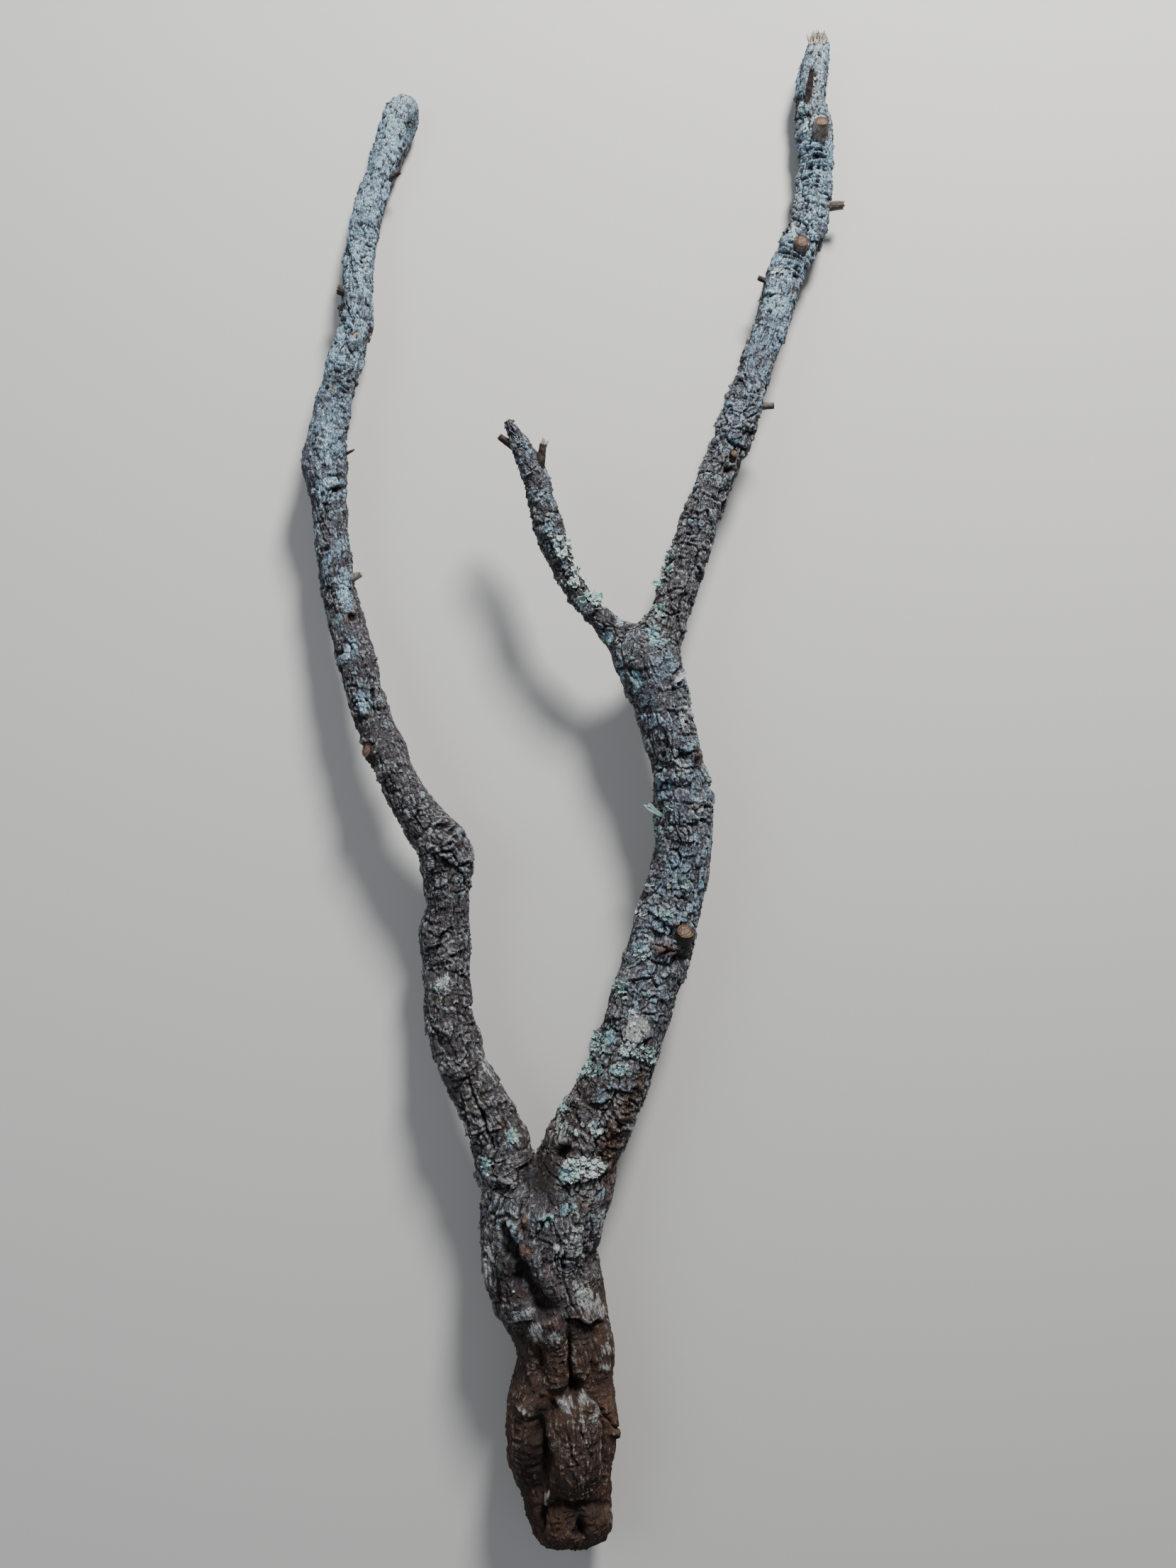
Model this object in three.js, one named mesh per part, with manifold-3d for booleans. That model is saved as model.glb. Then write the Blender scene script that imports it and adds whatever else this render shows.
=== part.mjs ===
import * as THREE from 'three';
import { mergeVertices } from 'three/addons/utils/BufferGeometryUtils.js';
import Module from 'manifold-3d';

// A fallen, forked branch with corky bark, lying as it rests on level ground.
// Millimetres, +Z up. Y runs from the broken butt to the tips and X runs across.
const wasm = await Module();
wasm.setup();

// Driving dimensions
const GAP = 0.3; // between two limbs that meet at a fork
const LOWER_FORK_Y = -267; // where the left and right limbs leave the stem
const UPPER_FORK_Y = 118; // where the side branch leaves the right limb
const WELD = 1e-4;
const CUTTER = 3000; // longer than the whole branch
const PLATE_SIDES = 2; // one bark plate and one furrow around the limb

// Each limb's stations are x, y and z of its axis, then half its width and half its height.
// Sides is the number of faces around, step the length of a face, plate the height of a
// bark plate, furrow the depth between two plates, ledge the drop at a plate's lower edge
// and rows the faces that one plate is long.
const LIMBS = {
  stem: {
    sides: 26,
    step: 9,
    plate: 2.4,
    furrow: 3.4,
    ledge: 2.2,
    rows: 4,
    ragged: 9,
    stations: [
      [-11, -546, 30, 23, 22],
      [-12, -533, 31, 28.5, 29],
      [-14, -508, 32, 31.5, 31],
      [-17, -487, 34, 35, 34],
      [-18, -470, 36, 38.5, 37],
      [-19, -446, 37, 39, 37.5],
      [-18, -424, 37, 35.5, 35],
      [-17, -407, 37, 35, 34],
      [-20, -391, 37, 36, 34],
      [-24, -376, 38, 38.5, 37],
      [-29, -361, 39, 41.5, 38],
      [-34, -342, 40, 41.5, 39],
      [-34, -324, 41, 44, 39],
      [-32, -304, 42, 46, 37],
      [-30, -289, 42, 49, 31],
      [-31, -277, 43, 48, 20],
    ],
  },
  left_limb: {
    sides: 14,
    step: 10,
    plate: 1.2,
    furrow: 1.7,
    ledge: 1.2,
    rows: 3,
    ragged: 2,
    stations: [
      [-36, -316, 41, 28, 28],
      [-48, -294, 42, 23, 24],
      [-60, -274, 43, 20, 21],
      [-67, -254, 44, 19, 19],
      [-75, -233, 45, 17.5, 17.5],
      [-83, -217, 45, 18, 18],
      [-91, -200, 44, 18, 18],
      [-99, -176, 42, 19, 18],
      [-102, -152, 39, 17.5, 17],
      [-104, -122, 37, 18, 17],
      [-105, -95, 37, 17, 17],
      [-103, -80, 38, 16.5, 17],
      [-104, -61, 40, 19, 18.5],
      [-109, -43, 43, 19.5, 19],
      [-120, -27, 45, 16, 17],
      [-136, -2, 46, 14.5, 15],
      [-147, 24, 45, 14.5, 14.5],
      [-157, 47, 44, 13.5, 14],
      [-166, 75, 42, 14, 14],
      [-175, 106, 39, 14, 14],
      [-184, 141, 36, 13.5, 13.5],
      [-191, 181, 34, 12.5, 13],
      [-194, 211, 33, 14, 14],
      [-197, 238, 34, 17.5, 16],
      [-195, 265, 34, 15, 15],
      [-190, 294, 32, 12.5, 13],
      [-182, 326, 29, 13.5, 13],
      [-176, 357, 26, 12.5, 12.5],
      [-175.5, 395, 22, 11.7, 12],
      [-172, 431, 17, 11.2, 11.5],
      [-164.5, 461, 14, 11.3, 12],
      [-157, 488, 12.5, 12, 13],
      [-149, 511, 12.5, 13.8, 13.5],
      [-144, 527, 13.5, 12.5, 12],
      [-143, 536, 14, 8.5, 8],
    ],
  },
  right_limb: {
    sides: 18,
    step: 9,
    plate: 1.7,
    furrow: 2.3,
    ledge: 1.7,
    rows: 3,
    ragged: 0,
    stations: [
      [-28, -319, 42, 31, 31],
      [-17, -294, 43, 29, 29],
      [-4, -267, 44, 27, 27],
      [8, -238, 46, 26, 25],
      [21, -209, 47, 24.5, 24],
      [33, -179, 47, 23.5, 23],
      [42, -149, 45, 23.7, 23],
      [51, -124, 43, 24, 23],
      [58, -95, 42, 23, 22],
      [65, -70, 42, 22.5, 22],
      [69.5, -46, 44, 21.5, 21],
      [69, -18, 46, 22.5, 21],
      [66, 11, 48, 20, 20],
      [59, 37, 50, 20, 20],
      [52, 65, 50, 21.7, 21],
      [45, 83, 50, 23.5, 22],
      [40, 98, 49, 22.5, 20],
      [38, 108, 49, 17, 14],
    ],
  },
  upper_limb: {
    sides: 14,
    step: 10,
    plate: 1.2,
    furrow: 1.6,
    ledge: 1.2,
    rows: 3,
    ragged: 7,
    stations: [
      [45, 92, 49, 20, 20],
      [56, 115, 48, 15.6, 16],
      [61, 128, 47, 14.3, 15],
      [67, 146, 46, 14.6, 14.5],
      [75, 171, 44, 15, 14.5],
      [83, 197, 42, 14.7, 14.5],
      [92, 219, 41, 14.2, 14],
      [102, 245, 40, 14.3, 14],
      [113, 274, 38, 14.5, 14],
      [122, 299, 35, 12.8, 13],
      [129, 322, 33, 13, 13],
      [137, 343, 30, 13.4, 13],
      [148, 380, 25, 14.8, 14],
      [158, 406, 21, 14.4, 14],
      [169, 431, 18, 15, 14.5],
      [174, 455, 15, 14.3, 14.5],
      [176, 481, 14, 13.2, 14],
      [176, 506, 14, 15, 14.5],
      [172.5, 528, 16, 12, 12.5],
      [173.5, 548, 19, 11.3, 11.5],
      [176, 563, 22, 11, 11],
      [177, 577, 24, 8.5, 8],
    ],
  },
  side_branch: {
    sides: 10,
    step: 8,
    plate: 0.8,
    furrow: 0.9,
    ledge: 0.8,
    rows: 3,
    ragged: 4,
    stations: [
      [41, 95, 48, 16, 16],
      [26, 105, 50, 11, 11],
      [12, 117, 53, 9, 9.5],
      [-1, 130, 55, 8.5, 9],
      [-13, 147, 58, 8.3, 8.5],
      [-21, 162, 61, 8.8, 8.5],
      [-27, 178, 63, 10.7, 9.5],
      [-31, 193, 65, 11, 9.5],
      [-34.5, 206, 66, 9.7, 9],
      [-37, 219, 67, 10.2, 9],
      [-42, 229, 68, 9, 8.5],
      [-48, 241, 70, 7.6, 7],
      [-54, 251, 72, 5, 5],
      [-57, 258, 73, 3.2, 3],
    ],
  },
};

// Knots, hollows and swellings on the upper side: the limb, the place in x and y, how far
// it reaches across and along its own length, that length's turn from Y in degrees, and
// the height that it adds.
const FEATURES = [
  ['stem', [-56, -321], [8, 13], 28, -7], // upper end of the slanting hollow
  ['stem', [-41, -344], [8, 15], 32, -11],
  ['stem', [-26, -366], [8, 12], 32, -9], // lower end of the hollow
  ['stem', [-43, -316], [6, 11], 20, 5], // knobbly lip beside the hollow
  ['stem', [-10, -314], [14, 16], 0, 3], // flat plates under the right limb
  ['stem', [-25, -366], [30, 5], 90, 2],
  ['stem', [-46, -366], [9, 6], 0, 4], // left half of the ledge
  ['stem', [-3, -366], [14, 6], 0, 4], // right half of the ledge
  ['stem', [-46, -380], [9, 6], 0, -3],
  ['stem', [-3, -380], [14, 6], 0, -3],
  ['stem', [-7, -421], [10, 8], 0, -8], // dark pit above the tongue
  ['stem', [-8, -458], [13, 28], 0, 5], // tongue of fibrous cork
  ['stem', [-29, -459], [5, 32], 0, -6], // furrow left of the tongue
  ['stem', [-44, -450], [9, 24], 0, 4],
  ['stem', [14, -452], [9, 18], 0, 3],
  ['stem', [5, -335], [8, 9], 0, -4],
  ['stem', [-20, -513], [9, 9], 0, 4], // lumps of the broken butt
  ['stem', [3, -518], [9, 9], 0, 4],
  ['stem', [-7, -527], [5, 8], 0, -5],
  ['right_limb', [-14, -259], [7, 7], 0, -5], // pit at the crotch
  ['right_limb', [15, -235], [6, 22], -24, 2.5], // crumbling blocks on the right edge
  ['right_limb', [28, -198], [6, 20], -22, 2.5],
  ['right_limb', [66, -119], [8, 6], 0, -3],
  ['right_limb', [81, 13], [7, 7], 0, -4], // knot hole
  ['left_limb', [-76, -228], [5, 34], 22, -3.5], // long groove between plates
  ['left_limb', [-103, -52], [14, 8], 20, 3], // overhanging lip at the knee
  ['left_limb', [-101, -66], [12, 6], 20, -3],
  ['left_limb', [-193, 175], [6, 6], 0, -2.5],
  ['left_limb', [-184, 218], [6, 6], 0, -2.5],
  ['left_limb', [-199, 238], [8, 14], 0, 1.5],
  ['upper_limb', [106, 232], [6, 6], 0, -3],
  ['upper_limb', [163, 414], [8, 8], 0, 3],
  ['upper_limb', [176, 493], [8, 6], 0, -3],
];

// Broken and sawn twigs: the limb, the root on its axis, the end, and the two radii.
const STUBS = [
  ['left_limb', [-149, 24, 46], [-160, 25, 63], 7, 5],
  ['left_limb', [-182, 154, 35], [-166, 158, 38], 6, 3],
  ['left_limb', [-172, 92, 40], [-153, 92, 42], 6, 3.5],
  ['left_limb', [-190, 246, 34], [-173.5, 251, 37], 5, 2.5],
  ['left_limb', [-160, 474, 13], [-145, 476, 15], 5, 2.5],
  ['right_limb', [56, -110, 44], [69, -106, 69], 9, 5],
  ['upper_limb', [114, 282, 37], [139, 284, 37], 5, 2.8],
  ['upper_limb', [103, 243, 40], [107, 240, 57], 5, 3],
  ['upper_limb', [148, 381, 25], [128.5, 386, 27], 5, 2.5],
  ['upper_limb', [173, 447, 16], [197.5, 448, 18], 5.5, 3.2],
  ['upper_limb', [175, 510, 15], [177, 504, 33], 7, 5],
  ['upper_limb', [171, 532, 20], [170, 549, 32], 3, 1.8],
  ['side_branch', [-45, 236, 69], [-65, 248, 71], 4, 2.5],
  ['side_branch', [-36, 220, 67], [-32, 242, 73], 4.5, 3],
];
const STUB_SIDES = 8;

const FINISHES = {
  stem: ['#4d3f35', 0.95],
  left_limb: ['#8b9594', 0.92],
  right_limb: ['#6d665f', 0.93],
  upper_limb: ['#939c98', 0.92],
  side_branch: ['#8d8f86', 0.92],
};

// A repeatable value from 0 to 1 for a pair of whole numbers
function scatter(a, b) {
  const mixed = Math.sin(a * 127.1 + b * 311.7 + 5.3) * 43758.5453;
  return mixed - Math.floor(mixed);
}

// Cork plates stand out beside furrows and end in a ledge, then the next row begins.
function barkRelief(limb, ring, side, seed) {
  const column = Math.floor(side / PLATE_SIDES);
  const slipped = ring + Math.floor(scatter(column, seed) * limb.rows);
  const row = Math.floor(slipped / limb.rows);
  const raised = limb.plate * (2 * scatter(row + seed, column) - 1);
  const inFurrow = side % PLATE_SIDES === 0 && scatter(column + seed, row) > 0.25;
  const atLedge = slipped % limb.rows === 0;
  return raised - (inFurrow ? limb.furrow : 0) - (atLedge ? limb.ledge : 0);
}

// Sum of the knots and hollows at one point of a limb's upper side
function featureRelief(name, point, upward) {
  if (upward <= 0) return 0;
  let height = 0;
  for (const [owner, [x, y], [across, along], turn, rise] of FEATURES) {
    if (owner !== name) continue;
    const angle = THREE.MathUtils.degToRad(turn);
    const dx = point.x - x;
    const dy = point.y - y;
    const u = (dx * Math.cos(angle) + dy * Math.sin(angle)) / across;
    const v = (dy * Math.cos(angle) - dx * Math.sin(angle)) / along;
    height += rise * Math.exp(-(u * u) - v * v);
  }
  return height * Math.min(1, upward * 2);
}

// Places along a limb, about one step apart: centre, direction and half sizes
function walkAlong(limb) {
  const centres = limb.stations.map(([x, y, z]) => new THREE.Vector3(x, y, z));
  const halves = limb.stations.map((station) => new THREE.Vector3(station[3], station[4], 0));
  const axis = new THREE.CatmullRomCurve3(centres, false, 'catmullrom');
  const sizes = new THREE.CatmullRomCurve3(halves, false, 'catmullrom');
  const last = centres.length - 1;
  const places = [];
  const addPlace = (t) => {
    places.push({ centre: axis.getPoint(t), along: axis.getTangent(t), half: sizes.getPoint(t) });
  };
  for (let i = 0; i < last; i += 1) {
    const parts = Math.max(1, Math.round(centres[i].distanceTo(centres[i + 1]) / limb.step));
    for (let k = 0; k < parts; k += 1) addPlace((i + k / parts) / last);
  }
  addPlace(1);
  return places;
}

// One closed, faceted limb, with its bark, knots and ragged ends
function limbGeometry(name, seed) {
  const limb = LIMBS[name];
  const places = walkAlong(limb);
  const up = new THREE.Vector3(0, 0, 1);
  const positions = [];
  const addPoint = (point) => positions.push(point.x, point.y, Math.max(0, point.z));
  places.forEach(({ centre, along, half }, ring) => {
    const across = new THREE.Vector3().crossVectors(along, up).normalize();
    const above = new THREE.Vector3().crossVectors(across, along).normalize();
    const isEnd = ring === places.length - 1 || (ring === 0 && name === 'stem');
    for (let side = 0; side < limb.sides; side += 1) {
      const angle = (2 * Math.PI * side) / limb.sides;
      const outward = across.clone().multiplyScalar(half.x * Math.cos(angle));
      outward.addScaledVector(above, half.y * Math.sin(angle));
      const surface = centre.clone().add(outward);
      let height = barkRelief(limb, ring, side, seed);
      height += featureRelief(name, surface, Math.sin(angle));
      surface.addScaledVector(outward.normalize(), height);
      if (isEnd) surface.addScaledVector(along, (scatter(side, seed) - 0.5) * limb.ragged);
      addPoint(surface);
    }
  });
  const first = positions.length / 3;
  addPoint(places[0].centre);
  addPoint(places[places.length - 1].centre.clone().addScaledVector(places[places.length - 1].along, 1));
  const triangles = [];
  const lastRing = (places.length - 1) * limb.sides;
  for (let side = 0; side < limb.sides; side += 1) {
    const next = (side + 1) % limb.sides;
    for (let ring = 0; ring < places.length - 1; ring += 1) {
      const low = ring * limb.sides;
      const high = low + limb.sides;
      triangles.push(low + side, high + side, low + next);
      triangles.push(low + next, high + side, high + next);
    }
    triangles.push(first, side, next);
    triangles.push(first + 1, lastRing + next, lastRing + side);
  }
  const geometry = new THREE.BufferGeometry();
  geometry.setAttribute('position', new THREE.Float32BufferAttribute(positions, 3));
  geometry.setIndex(triangles);
  return geometry;
}

// A snapped or sawn twig as a short tapered peg
function stubGeometry(root, end, rootRadius, endRadius) {
  const start = new THREE.Vector3(...root);
  const reach = new THREE.Vector3(...end).sub(start);
  const geometry = new THREE.CylinderGeometry(endRadius, rootRadius, reach.length(), STUB_SIDES);
  const turn = new THREE.Quaternion();
  turn.setFromUnitVectors(new THREE.Vector3(0, 1, 0), reach.clone().normalize());
  geometry.applyQuaternion(turn);
  const middle = start.addScaledVector(reach, 0.5);
  geometry.translate(middle.x, middle.y, middle.z);
  return geometry;
}

function toSolid(geometry) {
  const plain = geometry.clone();
  plain.deleteAttribute('normal');
  plain.deleteAttribute('uv');
  const merged = mergeVertices(plain, WELD);
  const mesh = new wasm.Mesh({
    numProp: 3,
    vertProperties: new Float32Array(merged.attributes.position.array),
    triVerts: new Uint32Array(merged.index.array),
  });
  return new wasm.Manifold(mesh);
}

function toMesh(solid, name) {
  const { vertProperties, triVerts } = solid.getMesh();
  const geometry = new THREE.BufferGeometry();
  geometry.setAttribute('position', new THREE.BufferAttribute(vertProperties, 3));
  geometry.setIndex(new THREE.BufferAttribute(triVerts, 1));
  const [colour, roughness] = FINISHES[name];
  const material = new THREE.MeshStandardMaterial({ color: colour, roughness, metalness: 0 });
  const mesh = new THREE.Mesh(geometry, material);
  mesh.name = name;
  return mesh;
}

// Everything between two heights of Y, to trim a limb at its forks
function slab(lowY, highY) {
  const geometry = new THREE.BoxGeometry(CUTTER, highY - lowY, CUTTER);
  geometry.translate(0, (lowY + highY) / 2, 0);
  return toSolid(geometry);
}

// A limb joined with the twigs that grow from it
const grown = {};
Object.keys(LIMBS).forEach((name, seed) => {
  grown[name] = toSolid(limbGeometry(name, seed + 1));
  for (const [owner, root, end, rootRadius, endRadius] of STUBS) {
    if (owner !== name) continue;
    grown[name] = grown[name].add(toSolid(stubGeometry(root, end, rootRadius, endRadius)));
  }
});

const belowLowerFork = slab(-CUTTER, LOWER_FORK_Y - GAP / 2);
const aboveLowerFork = slab(LOWER_FORK_Y + GAP / 2, CUTTER);
const betweenForks = slab(LOWER_FORK_Y + GAP / 2, UPPER_FORK_Y - GAP / 2);
const aboveUpperFork = slab(UPPER_FORK_Y + GAP / 2, CUTTER);
const lowerFork = grown.stem.add(grown.left_limb).add(grown.right_limb);
const upperFork = grown.right_limb.add(grown.upper_limb).add(grown.side_branch);

const branch = new THREE.Group();
branch.add(toMesh(lowerFork.intersect(belowLowerFork), 'stem'));
branch.add(toMesh(grown.left_limb.intersect(aboveLowerFork), 'left_limb'));
branch.add(toMesh(upperFork.intersect(betweenForks), 'right_limb'));
branch.add(toMesh(grown.upper_limb.intersect(aboveUpperFork), 'upper_limb'));
branch.add(toMesh(grown.side_branch.intersect(aboveUpperFork), 'side_branch'));

// The origin is under the middle of the branch, on the ground.
const extent = new THREE.Box3().setFromObject(branch);
const middle = extent.getCenter(new THREE.Vector3());
branch.position.set(-middle.x, -middle.y, -extent.min.z);

export default branch;
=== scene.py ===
import math
from collections import namedtuple

import bpy
import numpy as np
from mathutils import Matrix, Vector


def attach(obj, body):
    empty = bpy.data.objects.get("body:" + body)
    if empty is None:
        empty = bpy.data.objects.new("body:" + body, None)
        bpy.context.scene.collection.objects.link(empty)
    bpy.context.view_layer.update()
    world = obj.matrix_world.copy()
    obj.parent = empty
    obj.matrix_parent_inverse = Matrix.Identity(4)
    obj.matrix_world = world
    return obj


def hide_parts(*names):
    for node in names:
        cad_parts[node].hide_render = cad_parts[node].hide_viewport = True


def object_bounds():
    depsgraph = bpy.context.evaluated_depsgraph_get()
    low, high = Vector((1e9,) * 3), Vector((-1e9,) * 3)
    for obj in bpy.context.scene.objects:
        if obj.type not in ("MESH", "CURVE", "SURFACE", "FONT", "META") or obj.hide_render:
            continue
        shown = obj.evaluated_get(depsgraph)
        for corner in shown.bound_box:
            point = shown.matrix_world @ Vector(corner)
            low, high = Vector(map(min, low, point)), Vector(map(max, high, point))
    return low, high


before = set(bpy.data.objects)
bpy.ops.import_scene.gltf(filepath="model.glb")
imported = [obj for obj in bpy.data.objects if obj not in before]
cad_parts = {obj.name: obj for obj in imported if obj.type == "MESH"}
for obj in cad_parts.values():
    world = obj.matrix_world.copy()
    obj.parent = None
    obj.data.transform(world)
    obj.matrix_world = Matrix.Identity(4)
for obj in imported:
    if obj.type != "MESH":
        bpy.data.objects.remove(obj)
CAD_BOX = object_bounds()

bl_info = {
    "name": "Fallen Branch",
    "version": (1, 0, 0),
    "blender": (4, 5, 0),
    "location": "View3D > Sidebar > Branch",
    "description": "Builds a fallen, forked branch with corky bark, knots, stubs and lichens",
    "category": "Object",
}

MM = 0.001
# From the limbs' own frame to the origin under the middle of the branch, in mm
SHIFT = np.array((8.55, -13.97, 0.0))
SEED = 20
TOP_DENSITY = 0.28  # how much closer the columns stand on the upper side
FACING_FULL = 0.35  # upward part of a normal from which the marks have their full strength

# The plates' outlines
CELL_JITTER = 0.8  # how far a plate's middle may stray, as a part of its size
SQUARENESS = 0.8  # how nearly a long plate is measured as if it were square
ROUND = 0.45
BLOCKY = 0.55
CRACKED = (0.2, 0.85)  # the values between which a crack goes from closed to open
SHUFFLES = (7.31, 37.7, 91.3)  # factors that turn a plate's own value into further ones
# The plates' relief, where a table has a number for the large, middle and small plates
PLATE_HEIGHT = 1.35
# CRACK_SHADE: how dark the painted shade is in the open cracks of each order of plates
CRACK_SHADE = (0.9, 0.7, 0.5)
PLATE_TONE = (0.3, 0.4, 0.3)
FIBRE_CHIPS = 0.35  # how rough the small plates stay where the bark is fibrous
RIDGE_SLOPE = 2.2
LAYER = 1.1  # thickness of a layer of bark in mm
LAYER_EDGE = (0.32, 0.68)  # the part of a layer's thickness that is its steep edge
LAYERED = 0.75  # how much of the bark's relief is in layers
PROUD = 80  # percent of the bark that lies inside the limb's own outline
PATCH_MM = 24.0
GRAIN_MM = 2.6
WRINKLE_MM = (6.5, 6.5, 2.0)
FIBRES = ((0.65, (2.3, 2.3, 20.0), 50), (0.35, (1.5, 1.5, 11.0), 51))
# The bark's tops and hollows, whose low parts and hollows get painted shade: over how many rows it is
# compared, and the mm that count as full
TIPS = (2, 0.7)
HOLLOWS = (8, 3.0)
# How much of the crust the underside has, how much more the top has, and the upward parts of a
# normal that count as below and above
CRUST_BELOW = 0.45
CRUST_MORE_ABOVE = 0.65
UPWARD = (-0.4, 0.95)
# The limbs' ends, in mm
SLANT_REACH = 26.0
BUTT_REACH = 14.0
TORN_MM = 9.0
# Soft noises that are added up: height, size of the lumps in mm and the noise's own seed
SWAY_RIGHT = ((4.5, 9.0, 91), (2.2, 3.4, 92))
SWAY_DOWN = ((4.5, 9.0, 93), (2.2, 3.4, 94))
PLATE_SWAY = ((4.5, 21.0, 1), (1.3, 5.0, 2), (0.55, 2.0, 7))
PLATE_SLIP = ((4.5, 19.0, 3), (1.5, 5.2, 4), (0.6, 2.2, 8))
ROUGHER = ((0.55, 27.0, 9), (0.3, 10.0, 10))
LUMPS = ((1.1, 8.0, 71), (0.4, 4.4, 72))
# Ledges and forks, in mm
# How far a ledge's rise and drop fade above and below it, where its painted shadow lies and how wide it
# is, and the drop that gives that shadow its full darkness, in mm
LEDGE_ABOVE = 11.0
LEDGE_BELOW = 7.0
LEDGE_SHADE = 1.3
LEDGE_FULL_SHADE = 2.0
FORK_REACH = 75.0
FORK_AXIS = 110.0

# The photograph's camera, in mm and degrees in the limbs' own frame, and in pixels
CAMERA_AT = np.array((0.0, -39.0, 905.0))
CAMERA_TILT = 2.6
FOCAL_PIXELS = 1662.0
FRAME_WIDTH = 1659
FRAME_HEIGHT = 2212
SENSOR_MM = 36.0
PIXEL_MM = 0.52  # size of a pixel at the branch

# Bark plates: how many around, length, crack width and depth, unevenness, tilt and the
# lift of the lower edge, in mm
Plates = namedtuple("Plates", "around length width depth uneven tilt shingle")
# A limb: node, slot, spacing of the rows in mm, columns, usual radius in mm, its plates from
# large to small, size and height of the swellings, heights of the fibres, the crosswise
# wrinkles and the grain in mm, how rough, crusted and brown it is from its root to its end,
# and its stations
Limb = namedtuple(
    "Limb",
    "node slot row columns radius plates swell fibre wrinkle grain rough crust brown stations",
)

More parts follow.
